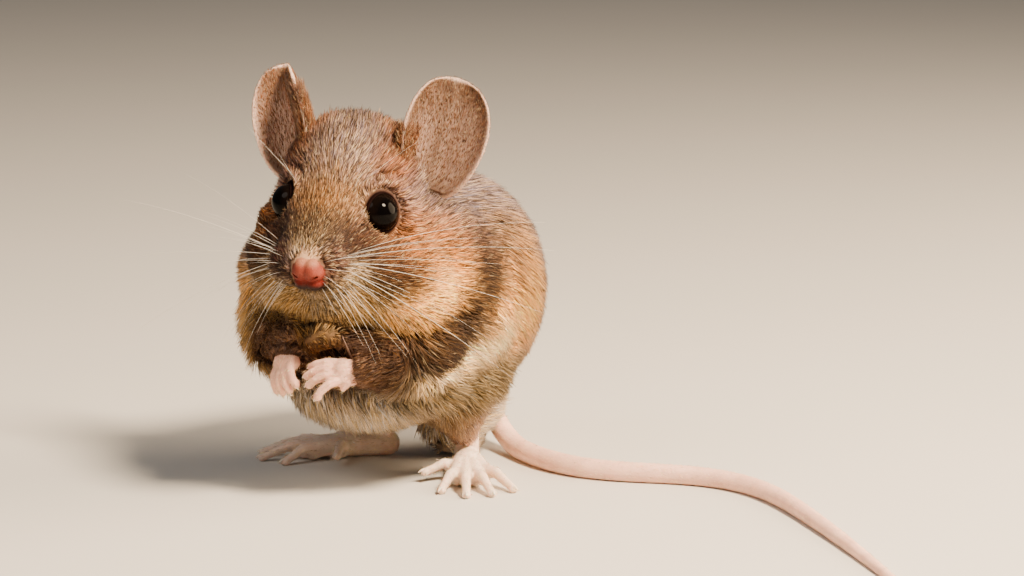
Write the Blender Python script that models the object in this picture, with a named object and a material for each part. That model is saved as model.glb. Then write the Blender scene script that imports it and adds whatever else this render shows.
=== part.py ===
"""Field mouse (wood mouse) at life size, sitting up on its hind feet with its forepaws held together.

The mouse faces -Y with its left side at +X, and the floor is z = 0.  The body is modelled whole, as balls and
tapered limbs that are melted into one surface, and is then parted into named pieces by thin cuts.
The solids follow the outer outline of the coat.  Lengths are millimetres here and become metres at MM.
"""
import math

import bmesh
import bpy
from mathutils import Matrix, Vector

MM = 0.001
GAP = 0.3                       # slit between neighbouring pieces

# Driving dimensions
HEAD_CENTRE = Vector((3.4, -28.3, 39.5))      # midway between the eyes
HEAD_YAW, HEAD_PITCH, HEAD_ROLL = 21.0, 6.0, 4.0
EYE_SIDE, EYE_RADIUS = 6.0, 2.65
EAR_LENGTH, EAR_WIDTH, EAR_SHELL = 15.6, 11.5, 0.7
TRUNK_HALF_WIDTH = 17.0
TRUNK_TOP = 43.0
FOOT_SPLAY = 41.0
LEFT_HEEL = Vector((6.3, -4.2, 0.0))
TAIL_LENGTH, TAIL_BASE_RADIUS, TAIL_TIP_RADIUS = 104.0, 1.55, 0.55
TAIL_LENGTHS = 4
TAIL_START, TAIL_LIFT, TAIL_LIFTED = Vector((0.0, 9.6, 0.0)), 3.4, 12.0    # its root is lifted over this length
ANKLE_CUT = 4.0                 # height of the cut between foot and shin
SHIN_TOP, SHIN_HALF_WIDTH = 8.7, 3.6

BODY_VOXEL, PAW_VOXEL = 0.7, 0.24
BODY_TRIANGLES, PAW_TRIANGLES, FOOT_TRIANGLES, ARM_TRIANGLES = 2200, 260, 370, 110

SIDES = {"left": 1, "right": -1}


# ---------------------------------------------------------------- tools

def clear_scene():
    for obj in list(bpy.data.objects):
        bpy.data.objects.remove(obj)


def material(name, colour, roughness):
    made = bpy.data.materials.new(name)
    made.use_nodes = True
    shader = made.node_tree.nodes["Principled BSDF"]
    shader.inputs["Base Color"].default_value = (*colour, 1.0)
    shader.inputs["Roughness"].default_value = roughness
    shader.inputs["Metallic"].default_value = 0.0
    return made


def active(obj):
    bpy.ops.object.select_all(action="DESELECT")
    obj.select_set(True)
    bpy.context.view_layer.objects.active = obj


def settle(obj, matrix):
    """Moves the object's mesh, in millimetres, by the matrix and leaves the object at the origin."""
    obj.data.transform(matrix)
    if matrix.determinant() < 0:
        obj.data.flip_normals()
    obj.matrix_world = Matrix.Identity(4)
    return obj


def ball(centre, radii, frame=None, segments=24):
    """An ellipsoid of these radii, in the frame's axes if one is given."""
    bpy.ops.mesh.primitive_uv_sphere_add(segments=segments, ring_count=segments * 2 // 3, radius=1.0)
    shape = Matrix.Translation(Vector(centre)) @ Matrix.Diagonal((*radii, 1.0))
    return settle(bpy.context.object, (frame or Matrix.Identity(4)) @ shape)


def block(low, high, frame=None):
    bpy.ops.mesh.primitive_cube_add(size=1.0)
    low, high = Vector(low), Vector(high)
    shape = Matrix.Translation((low + high) / 2) @ Matrix.Diagonal((*(high - low), 1.0))
    return settle(bpy.context.object, (frame or Matrix.Identity(4)) @ shape)


def along(start, end):
    """A frame at start whose Z axis points to end."""
    turn = (end - start).to_track_quat("Z", "Y").to_matrix().to_4x4()
    return Matrix.Translation(start) @ turn


def limb(points, radii, frame=None, vertices=16):
    """A round limb that passes through the points, with its own radius at each one."""
    points = [Vector(p) for p in points]
    pieces = [ball(p, (r, r, r), frame, segments=vertices) for p, r in zip(points, radii)]
    for (a, b), (ra, rb) in zip(zip(points, points[1:]), zip(radii, radii[1:])):
        length = (b - a).length
        bpy.ops.mesh.primitive_cone_add(vertices=vertices, radius1=ra, radius2=rb, depth=length)
        shape = along(a, b) @ Matrix.Translation((0, 0, length / 2))
        pieces.append(settle(bpy.context.object, (frame or Matrix.Identity(4)) @ shape))
    return pieces


def flat(items):
    """The items of a list that may hold lists."""
    return [x for item in items for x in (flat(item) if isinstance(item, list) else [item])]


def joined(name, pieces):
    pieces = flat(pieces)
    bpy.ops.object.select_all(action="DESELECT")
    for piece in pieces:
        piece.select_set(True)
    bpy.context.view_layer.objects.active = pieces[0]
    if len(pieces) > 1:
        bpy.ops.object.join()
    obj = bpy.context.object
    obj.name = name
    return obj


def apply(obj, kind, **settings):
    modifier = obj.modifiers.new(kind.title(), kind)
    for key, value in settings.items():
        setattr(modifier, key, value)
    active(obj)
    bpy.ops.object.modifier_apply(modifier=modifier.name)


def melted(name, pieces, voxel, smoothing, triangles):
    """The pieces as one closed surface, softened where they meet and thinned to a number of triangles."""
    obj = joined(name, pieces)
    apply(obj, "REMESH", mode="VOXEL", voxel_size=voxel)
    apply(obj, "SMOOTH", factor=0.5, iterations=smoothing)
    apply(obj, "TRIANGULATE")
    apply(obj, "DECIMATE", ratio=min(1.0, triangles / len(obj.data.polygons)))
    return obj


def copy_of(obj, name):
    other = obj.copy()
    other.data = obj.data.copy()
    other.name = name
    bpy.context.scene.collection.objects.link(other)
    return other


def swollen(obj, by):
    """A copy whose surface stands out by this much."""
    other = copy_of(obj, obj.name + "_swollen")
    apply(other, "DISPLACE", strength=by, mid_level=0.0)
    return other


def boolean(obj, other, operation):
    apply(obj, "BOOLEAN", operation=operation, solver="EXACT", object=other)


def remove(*objs):
    for obj in objs:
        bpy.data.objects.remove(obj)


def cut_clear(obj, other, gap=GAP):
    """Takes the other object's shape, and a slit round it, out of obj."""
    grown = swollen(other, gap)
    boolean(obj, grown, "DIFFERENCE")
    remove(grown)


def cut_block(obj, low, high, frame=None, operation="DIFFERENCE"):
    region = block(low, high, frame)
    boolean(obj, region, operation)
    remove(region)


def part_off(body, name, low, high, frame=None):
    """Gives what the body has inside the block its own object, and leaves a slit between the two."""
    piece = copy_of(body, name)
    cut_block(piece, low, high, frame, "INTERSECT")
    slit = Vector((GAP, GAP, GAP))
    cut_block(body, Vector(low) - slit, Vector(high) + slit, frame)
    keep_largest(body)
    return keep_largest(piece)


def keep_largest(obj):
    """Drops the slivers that a cut leaves beside the main piece."""
    mesh = bmesh.new()
    mesh.from_mesh(obj.data)
    unseen, islands = set(mesh.verts), []
    while unseen:
        island, edge_of = set(), [unseen.pop()]
        while edge_of:
            vert = edge_of.pop()
            island.add(vert)
            near = {edge.other_vert(vert) for edge in vert.link_edges} & unseen
            unseen -= near
            edge_of.extend(near)
        islands.append(island)
    largest = max(islands, key=len)
    spare = [vert for island in islands if island is not largest for vert in island]
    bmesh.ops.delete(mesh, geom=spare, context="VERTS")
    mesh.to_mesh(obj.data)
    mesh.free()
    return obj


# ---------------------------------------------------------------- frames

def turned(yaw, pitch, roll):
    """X is left, Y is forward and Z is up for something that faces -Y and is then turned, in degrees."""
    facing = Matrix(((1, 0, 0), (0, -1, 0), (0, 0, 1))).to_4x4()
    facing = Matrix.Rotation(math.radians(yaw), 4, "Z") @ facing
    facing = facing @ Matrix.Rotation(math.radians(-pitch), 4, "X")
    return facing @ Matrix.Rotation(math.radians(roll), 4, "Y")


HEAD = Matrix.Translation(HEAD_CENTRE) @ turned(HEAD_YAW, HEAD_PITCH, HEAD_ROLL)


# ---------------------------------------------------------------- the body

def trunk_shapes():
    w = TRUNK_HALF_WIDTH
    shapes = [
        ball((0, -13.5, 25.5), (w + 0.8, 22.0, TRUNK_TOP - 25.5)),    # back and flanks
        ball((0, -3.5, 25.0), (w - 1.6, 17.0, 17.2)),                 # rump
        ball((0, -18.5, 18.6), (w - 1.5, 13.0, 12.0)),                # belly
        ball((0, -21.0, 24.0), (w - 1.0, 10.0, 15.0)),                # chest
        ball((0, 1.4, 11.4), (6.8, 8.6, 12.1)),                       # seat
        ball((0.8, -17.0, 36.0), (10.0, 9.0, 9.4)),                   # nape
        limb([(0, -14, 30), (1.6, -22.5, 36.5)], [12.5, 11.0]),       # neck
        ball((1.4, -27.0, 27.0), (10.0, 6.8, 6.0)),                   # throat
    ]
    for side in SIDES.values():
        shapes += [
            ball((side * 10.4, -22.0, 24.5), (7.6, 8.8, 12.5)),       # shoulder
            ball((side * 8.0, -8.5, 15.6), (7.4, 9.6, 9.2)),          # haunch
            ball((side * 11.2, -18.0, 16.6), (5.4, 6.6, 6.4)),        # knee
        ]
    return shapes


def head_shapes():
    shapes = [
        ball((0, -7.2, 1.2), (10.2, 10.6, 9.8), HEAD),            # brain case
        limb([(0, -2.0, -0.6), (0, 8.4, -3.5), (0.3, 12.0, -5.1)], [7.7, 4.5, 3.2], HEAD), # face and muzzle
        limb([(0.3, 8.2, -7.9), (0, -2.0, -7.6)], [2.5, 5.0], HEAD),                         # lower jaw
        ball((0.9, 13.0, -5.5), (1.8, 1.6, 1.9), HEAD),                                     # nose
    ]
    for side in SIDES.values():
        shapes += [
            ball((side * 6.7, -4.6, -5.4), (6.1, 8.2, 6.4), HEAD),    # cheek
            ball((side * 7.4, -0.4, -7.2), (4.9, 6.8, 4.9), HEAD),    # jowl
            ball((side * 2.9, 9.5, -5.6), (3.0, 3.6, 3.0), HEAD),     # whisker pad
            ball((side * 4.4, 2.0, -5.0), (4.4, 6.4, 4.4), HEAD),     # side of the face
            ball((side * 8.0, -10.2, 4.0), (2.5, 3.0, 4.2), HEAD),     # ear root
        ]
    return shapes


def arm_points(side):
    """Shoulder, elbow and wrist of a foreleg."""
    if side > 0:
        return [Vector((12.6, -20.5, 23.5)), Vector((14.4, -23.6, 18.6)), Vector((9.2, -31.6, 18.5))]
    return [Vector((-12.6, -20.5, 23.5)), Vector((-10.8, -26.2, 18.6)), Vector((-1.4, -33.0, 20.0))]


def foot_frame(side):
    heel = Vector((side * LEFT_HEEL.x, LEFT_HEEL.y, LEFT_HEEL.z))
    return Matrix.Translation(heel) @ turned(side * FOOT_SPLAY, 0, 0)


def ankle(side):
    return foot_frame(side) @ Vector((0, 2.6, 4.4))


def knee(side):
    return Vector((side * 10.8, -15.5, 15.0))


def limb_shapes():
    shapes = []
    for side in SIDES.values():
        shapes.append(limb(arm_points(side)[:2], [5.4, 4.6]))
        shapes.append(limb([knee(side), ankle(side)], [4.8, 1.8]))
    return shapes


def body():
    shapes = [trunk_shapes(), head_shapes(), limb_shapes(), tail_root()]
    return melted("body", shapes, BODY_VOXEL, 8, BODY_TRIANGLES)


# ---------------------------------------------------------------- paws and feet

def hand_frame(side):
    """At the wrist, with Y along the fingers and Z out of the back of the hand."""
    wrist = arm_points(side)[2]
    if side > 0:
        fingers, back = Vector((-0.80, -0.55, -0.14)), Vector((0.30, -0.65, 0.70))
    else:
        fingers, back = Vector((0.28, -0.48, -0.83)), Vector((-0.20, -0.86, 0.44))
    y = fingers.normalized()
    x = y.cross(back).normalized()
    z = x.cross(y)
    return Matrix.Translation(wrist) @ Matrix((x, y, z)).transposed().to_4x4()


FINGERS = [(-1.35, -20.0, 3.3), (-0.5, -5.0, 3.9), (0.45, 8.0, 3.8), (1.35, 26.0, 3.2)]


def forepaw(name, side):
    frame = hand_frame(side)
    shapes = [limb([(0, -0.6, 0), (0, 1.4, 0)], [1.75, 1.75], frame, 12)]
    shapes.append(ball((0, 1.7, 0), (2.15, 1.8, 1.35), frame, 18))
    for across, spread, length in FINGERS:
        a = math.radians(spread * side)
        ahead = Vector((math.sin(a), math.cos(a), 0))
        base = Vector((across * side, 2.4, 0.1))
        knuckle = base + ahead * length * 0.5 + Vector((0, 0, 0.25))
        tip = base + ahead * length + Vector((0, 0, -0.65))
        shapes.append(limb([base, knuckle, tip], [0.75, 0.62, 0.58], frame, 10))
    return melted(name, shapes, PAW_VOXEL, 3, PAW_TRIANGLES)


TOES = [  # where each toe leaves the sole and where it ends, across and ahead of the heel, and its end's height
    (-1.5, 8.0, -6.0, 9.6, 1.5), (-1.8, 12.0, -4.0, 16.6, 0.55), (-0.6, 13.0, -0.7, 19.4, 0.55),
    (0.8, 12.6, 2.8, 18.8, 0.55), (2.0, 10.2, 5.8, 16.4, 0.55),
]


def hind_foot(name, side):
    frame = foot_frame(side)
    shapes = [
        limb([(0, 1.6, 1.75), (0, 2.6, 4.4)], [1.85, 1.95], frame, 12),       # heel and ankle
        limb([(0, 1.4, 1.75), (0, 7.5, 2.0)], [1.85, 2.1], frame, 12),        # sole
    ]
    for across, ahead, tip_across, tip_ahead, tip_height in TOES:
        start = Vector((side * across * 0.3, 6.5, 2.0))
        base = Vector((side * across, ahead, 1.7))
        tip = Vector((side * tip_across, tip_ahead, tip_height))
        knuckle = base.lerp(tip, 0.5) + Vector((0, 0, 0.75))
        shapes.append(limb([start, base, knuckle, tip], [1.8, 1.25, 0.85, 0.66], frame, 10))
    return melted(name, shapes, PAW_VOXEL, 3, FOOT_TRIANGLES)


# ---------------------------------------------------------------- ears and eyes

EAR_POSES = {  # root in the head's frame, then yaw outwards, lean back and tilt outwards
    "left": (Vector((9.6, -9.6, 1.2)), 20.0, 8.0, 15.0),
    "right": (Vector((-7.4, -9.4, 0.9)), 26.0, 8.0, 14.0),
}


def ear_surface(s, t):
    """A point of the ear's sheet: s runs from root to tip and t from edge to edge, as -1 to 1."""
    angle = math.pi * (0.10 + 0.90 * s)
    share = (math.cos(math.pi * 0.10) - math.cos(angle)) / (1 + math.cos(math.pi * 0.10))
    half = max(EAR_WIDTH / 2 * math.sin(angle) ** 0.75 * (0.84 + 0.28 * share), 0.2)
    wrap = math.radians(88 - 40 * s)
    radius = half / math.sin(wrap)
    height = EAR_LENGTH * share
    across = wrap * t
    cup = radius * (1 - math.cos(across))
    return Vector((radius * math.sin(across), cup - 1.2 * s * s, height))


def ear(name, side_name):
    root, yaw, lean, tilt = EAR_POSES[side_name]
    side = SIDES[side_name]
    rows, columns = 7, 7
    mesh = bmesh.new()
    grid = [[mesh.verts.new(ear_surface(i / rows, 2 * j / columns - 1)) for j in range(columns + 1)]
            for i in range(rows + 1)]
    for lower, upper in zip(grid, grid[1:]):
        for j in range(columns):
            mesh.faces.new((lower[j], lower[j + 1], upper[j + 1], upper[j]))
    data = bpy.data.meshes.new(name)
    mesh.to_mesh(data)
    mesh.free()
    obj = bpy.data.objects.new(name, data)
    bpy.context.scene.collection.objects.link(obj)
    apply(obj, "SOLIDIFY", thickness=EAR_SHELL, offset=0.0)
    return settle(obj, HEAD @ Matrix.Translation(root) @ ear_turn(side * yaw, lean, side * tilt))


def ear_turn(yaw, lean, tilt):
    turn = Matrix.Rotation(math.radians(-yaw), 4, "Z") @ Matrix.Rotation(math.radians(lean), 4, "X")
    return Matrix.Rotation(math.radians(tilt), 4, "Y") @ turn


def eye_centre(side):
    return HEAD @ Vector((side * EYE_SIDE, 0.3, 0.0))


# ---------------------------------------------------------------- whiskers

WHISKERS = [(0.30, 30.0), (-0.02, 29.0), (-0.42, 26.0)]       # rise and length of each side's main whiskers
WHISKER_RADIUS = 0.28
WHISKER_ROOT = Vector((2.8, 9.6, -4.6))
WHISKER_BEND = Vector((0.0, -0.12, -0.18))                    # how far a whisker's tip bends, for its length


def whisker_line(side, rise, length, count=5):
    """Points along a whisker, from inside its pad out to the side, and bending back and down to its tip."""
    root = Vector((side * WHISKER_ROOT.x, WHISKER_ROOT.y, WHISKER_ROOT.z))
    heading = Vector((side, -0.10, rise)).normalized()
    shares = [i / (count - 1) for i in range(count)]
    return [HEAD @ (root + (heading * s + WHISKER_BEND * s * s) * length) for s in shares]


def grow_whiskers(head):
    """Joins the main whiskers to the head.  The finer ones are left to the coat."""
    for side in SIDES.values():
        for rise, length in WHISKERS:
            points = whisker_line(side, rise, length)
            whisker = tube("whisker", points, [WHISKER_RADIUS] * len(points), 0)
            boolean(head, whisker, "UNION")
            remove(whisker)


# ---------------------------------------------------------------- tail

TAIL_HEADING, TAIL_DRIFT = -30.0, -10.0       # at the root, and how much it turns towards the tip
TAIL_SWAY, SWAY_AT, SWAY_WIDTH = 60.0, 0.34, 0.14


def tail_radius(s):
    return TAIL_TIP_RADIUS + (TAIL_BASE_RADIUS - TAIL_TIP_RADIUS) * (1 - s ** 2)


def tail_heading(s):
    """Which way the tail runs, from +X towards +Y: it sways once to the back on its way to the front."""
    sway = TAIL_SWAY * math.exp(-((s - SWAY_AT) / SWAY_WIDTH) ** 2)
    return math.radians(TAIL_HEADING + TAIL_DRIFT * s + sway)


def tail_point(s):
    """The middle of the tail a share s of the way along, lying on the floor beyond its lifted root."""
    steps = 40
    at = TAIL_START.copy()
    for i in range(steps):
        heading = tail_heading(s * (i + 0.5) / steps)
        at += Vector((math.cos(heading), math.sin(heading), 0)) * (TAIL_LENGTH * s / steps)
    lift = TAIL_LIFT * max(0.0, 1 - s * TAIL_LENGTH / TAIL_LIFTED) ** 2
    return Vector((at.x, at.y, tail_radius(s) - 0.15 + lift))


def tail_root():
    return limb([(0, 4.0, 9.0), tail_point(0)], [5.4, TAIL_BASE_RADIUS + 0.5])


def tail_piece(name, first, last):
    rings = 7
    shares = [first + (last - first) * i / rings for i in range(rings + 1)]
    return tube(name, [tail_point(s) for s in shares], [tail_radius(s) for s in shares], 2)


def tube(name, points, radii, roundness):
    """A closed tube through the points, with its own radius at each one."""
    data = bpy.data.curves.new(name, "CURVE")
    data.dimensions = "3D"
    spline = data.splines.new("POLY")
    spline.points.add(len(points) - 1)
    for point, place, radius in zip(spline.points, points, radii):
        point.co = (*place, 1)
        point.radius = radius
    data.bevel_depth = 1.0
    data.bevel_resolution = roundness
    data.use_fill_caps = True
    obj = bpy.data.objects.new(name, data)
    bpy.context.scene.collection.objects.link(obj)
    active(obj)
    bpy.ops.object.convert(target="MESH")
    return bpy.context.object


# ---------------------------------------------------------------- parting the body

FAR = 60.0


def part_body(whole):
    """Cuts the body into the pieces a person would name.  What is left at the end is the trunk."""
    for name, side in SIDES.items():
        part_foreleg(whole, name, side)
        part_hind_leg(whole, name, side)
    part_off(whole, "nose", (-4, 12.4, -7.5), (4, FAR, 0.5), HEAD)
    part_off(whole, "lower_jaw", (-3.6, -1.5, -11.4), (3.6, 11.5, -8.5), HEAD)
    part_off(whole, "head", (-FAR, -12.5, -9.4), (FAR, FAR, FAR), HEAD)
    part_off(whole, "neck", (-FAR, -17.0, -14.0), (FAR, FAR, FAR), HEAD)
    part_off(whole, "chest", (-FAR, -FAR, 0), (FAR, -22.0, FAR))
    part_off(whole, "rump", (-FAR, -5.0, -1), (FAR, FAR, FAR))
    whole.name = "trunk"


def part_foreleg(whole, name, side):
    room = ball((0, 2.0, 0), (4.2, 6.2, 3.0), hand_frame(side))
    boolean(whole, room, "DIFFERENCE")
    remove(room)
    arm = melted("forearm_" + name, limb(arm_points(side)[1:], [4.4, 2.3]), BODY_VOXEL, 2, ARM_TRIANGLES)
    cut_block(arm, (-FAR, -GAP, -FAR), (FAR, FAR, FAR), hand_frame(side))
    cut_clear(whole, arm)
    keep_largest(whole)
    outer, inner = side * FAR, side * 9.0
    low = Vector((min(outer, inner), -29.0, 14.0))
    high = Vector((max(outer, inner), -16.0, 30.0))
    part_off(whole, "upper_arm_" + name, low, high)


def part_hind_leg(whole, name, side):
    low, high = (-SHIN_HALF_WIDTH, -3.0, -1.0), (SHIN_HALF_WIDTH, 9.0, ANKLE_CUT + GAP / 2)
    cut_block(whole, low, high, foot_frame(side))
    outer, inner = side * FAR, side * 7.0
    low = Vector((min(outer, inner), -24.0, 9.0))
    high = Vector((max(outer, inner), -1.5, 19.5))
    part_off(whole, "thigh_" + name, low, high)
    low = ankle(side) + Vector((-SHIN_HALF_WIDTH, -7.0, 0))
    high = ankle(side) + Vector((SHIN_HALF_WIDTH, 3.2, 0))
    low.z, high.z = ANKLE_CUT - 1, SHIN_TOP
    part_off(whole, "shin_" + name, low, high)


def finish(obj, finishes):
    """Shrinks the millimetres to metres and gives the object its material."""
    obj.data.transform(Matrix.Scale(MM, 4))
    kind = obj.name.split("_")[0]
    colour, roughness = finishes.get(kind, finishes["fur"])
    obj.data.materials.clear()
    obj.data.materials.append(material(obj.name, colour, roughness))


FINISHES = {
    "fur": ((0.36, 0.21, 0.11), 0.9), "trunk": ((0.30, 0.17, 0.09), 0.9), "chest": ((0.42, 0.26, 0.14), 0.9),
    "eye": ((0.01, 0.008, 0.008), 0.05), "nose": ((0.58, 0.25, 0.20), 0.5), "ear": ((0.40, 0.22, 0.15), 0.8),
    "forepaw": ((0.80, 0.52, 0.44), 0.6), "hind": ((0.82, 0.56, 0.48), 0.6), "tail": ((0.70, 0.44, 0.33), 0.7),
}


def main():
    clear_scene()
    whole = body()
    shell = copy_of(whole, "shell")
    for name, side in SIDES.items():
        cut_clear(ear("ear_" + name, name), shell)
        eye = ball(eye_centre(side), (EYE_RADIUS,) * 3, segments=12)
        eye.name = "eye_" + name
        cut_clear(whole, eye)
        paw = forepaw("forepaw_" + name, side)
        cut_block(paw, (-FAR, -FAR, -FAR), (FAR, 0, FAR), hand_frame(side))
        foot = hind_foot("hind_foot_" + name, side)
        cut_block(foot, (-FAR, -FAR, ANKLE_CUT - GAP / 2), (FAR, FAR, FAR), foot_frame(side))
        cut_block(foot, (-FAR, -FAR, -FAR), (FAR, FAR, 0))
    cut_block(whole, (-FAR, -FAR, -FAR), (FAR, FAR, 0))
    part_body(whole)
    spacing = GAP / 2 / TAIL_LENGTH
    for i in range(TAIL_LENGTHS):
        piece = tail_piece(f"tail_{i + 1}", i / TAIL_LENGTHS + spacing, (i + 1) / TAIL_LENGTHS - spacing)
        cut_block(piece, (-FAR, -FAR, -FAR), (2 * FAR, FAR, 0))
    cut_clear(bpy.data.objects["tail_1"], shell)
    remove(shell)
    grow_whiskers(bpy.data.objects["head"])
    for obj in bpy.data.objects:
        keep_largest(obj)
        finish(obj, FINISHES)


main()
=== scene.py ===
"""Field mouse (wood mouse) at life size: skin, coat, eyes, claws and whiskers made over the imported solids.

Lengths are millimetres while a piece is made, and become metres when it is finished.
The mouse faces -Y with its left side at +X.  In a frame of its own, such as the head's, X is left,
Y is forward and Z is up.
"""
import math

import bmesh
import bpy
import numpy as np
from mathutils import Matrix, Vector
from mathutils.bvhtree import BVHTree
from mathutils.kdtree import KDTree


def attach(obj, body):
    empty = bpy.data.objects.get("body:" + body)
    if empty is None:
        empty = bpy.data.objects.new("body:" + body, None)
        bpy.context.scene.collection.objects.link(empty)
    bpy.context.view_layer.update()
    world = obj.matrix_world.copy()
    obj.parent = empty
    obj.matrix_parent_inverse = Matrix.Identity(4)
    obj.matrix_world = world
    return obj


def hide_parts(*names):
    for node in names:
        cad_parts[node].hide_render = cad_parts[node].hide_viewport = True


bl_info = {
    "name": "Field Mouse",
    "version": (1, 0, 0),
    "blender": (4, 5, 0),
    "location": "View3D > Sidebar > Field Mouse",
    "description": "Builds the skin, coat and stage of a life-size field mouse",
    "category": "Object",
}

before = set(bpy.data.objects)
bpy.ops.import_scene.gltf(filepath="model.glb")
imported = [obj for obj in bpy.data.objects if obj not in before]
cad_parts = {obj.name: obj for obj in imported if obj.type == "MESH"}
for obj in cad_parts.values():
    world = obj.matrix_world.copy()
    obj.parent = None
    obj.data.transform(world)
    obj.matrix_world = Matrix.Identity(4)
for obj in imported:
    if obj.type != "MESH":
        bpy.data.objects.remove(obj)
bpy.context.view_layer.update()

MM = 0.001
SIDES = {"left": 1, "right": -1}
WHISKER_ROWS, WHISKERS_IN_ROW = 5, 5
FLOOR_CLEARANCE = 0.02          # how far feet and tail stay above the floor

# Places and sizes that the skin shares with the solids
HEAD_CENTRE = Vector((3.4, -28.3, 39.5))
HEAD_YAW, HEAD_PITCH, HEAD_ROLL = 21.0, 6.0, 4.0
EYE_SIDE, EYE_FORWARD = 6.0, 0.3
NOSE = Vector((0.9, 13.3, -5.3))                                # the middle of the nose pad
EAR_LENGTH, EAR_WIDTH = 15.6, 11.5
WHISKERS = [(0.30, 30.0), (-0.02, 29.0), (-0.42, 26.0)]         # rise and length of the main whiskers
WHISKER_ROOT, WHISKER_BEND = Vector((2.8, 9.6, -4.6)), Vector((0.0, -0.12, -0.18))
FOOT_SPLAY = 41.0
LEFT_HEEL = Vector((6.3, -4.2, 0.0))
TAIL_LENGTH, TAIL_BASE_RADIUS, TAIL_TIP_RADIUS = 104.0, 1.55, 0.55
TAIL_START, TAIL_LIFT, TAIL_LIFTED = Vector((0.0, 9.6, 0.0)), 3.4, 12.0
TAIL_HEADING, TAIL_DRIFT = -30.0, -10.0
TAIL_SWAY, SWAY_AT, SWAY_WIDTH = 60.0, 0.34, 0.14

FURRED = ["head", "lower_jaw", "neck", "chest", "trunk", "rump"] + [
    f"{part}_{side}" for part in ("upper_arm", "forearm", "thigh", "shin") for side in SIDES]
BARE = ["nose"] + [f"{part}_{side}" for part in ("ear", "forepaw", "hind_foot") for side in SIDES] + [
    f"tail_{i}" for i in range(1, 5)]


def linear(code, alpha=1.0):
    """The linear colour of an sRGB hex value."""
    parts = [int(code[i:i + 2], 16) / 255 for i in (1, 3, 5)]
    return (*[c / 12.92 if c <= 0.04045 else ((c + 0.055) / 1.055) ** 2.4 for c in parts], alpha)


def length_property(name, millimetres, description):
    """A length for the panel, which is held in metres."""
    return bpy.props.FloatProperty(name=name, description=description, default=millimetres * MM,
                                   min=0.0, precision=5, unit="LENGTH")


def colour_property(name, code, description):
    """A colour for the panel, which is held as linear values."""
    return bpy.props.FloatVectorProperty(name=name, description=description, default=linear(code),
                                         size=4, min=0.0, max=1.0, subtype="COLOR")


class MouseSizes(bpy.types.PropertyGroup):
    """The sizes that may be changed in the panel"""
    body_coat: length_property("Body coat", 3.2, "How far the coat stands off the skin of the body")
    crown_coat: length_property("Crown coat", 1.9, "How far the coat stands off the skin behind the eyes")
    face_coat: length_property("Face coat", 1.1, "How far the coat stands off the skin before the eyes")
    muzzle_coat: length_property("Muzzle coat", 0.6, "How far the coat stands off the skin of the muzzle")
    limb_coat: length_property("Limb coat", 0.9, "How far the coat stands off the skin of the lower limbs")
    body_hair: length_property("Body hair", 6.4, "Length of a tuft on the back and flanks")
    face_hair: length_property("Face hair", 2.3, "Length of a tuft between nose and eyes")
    ear_hair: length_property("Ear hair", 1.1, "Length of the fine hairs on the ears")
    foot_hair: length_property("Foot hair", 0.9, "Length of the fine hairs on paws, feet and tail")
    eye_radius: length_property("Eye radius", 2.80, "Radius of the eyeball")
    whisker_length: length_property("Whisker length", 26.0, "Length of the longest of the finer whiskers")


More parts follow.
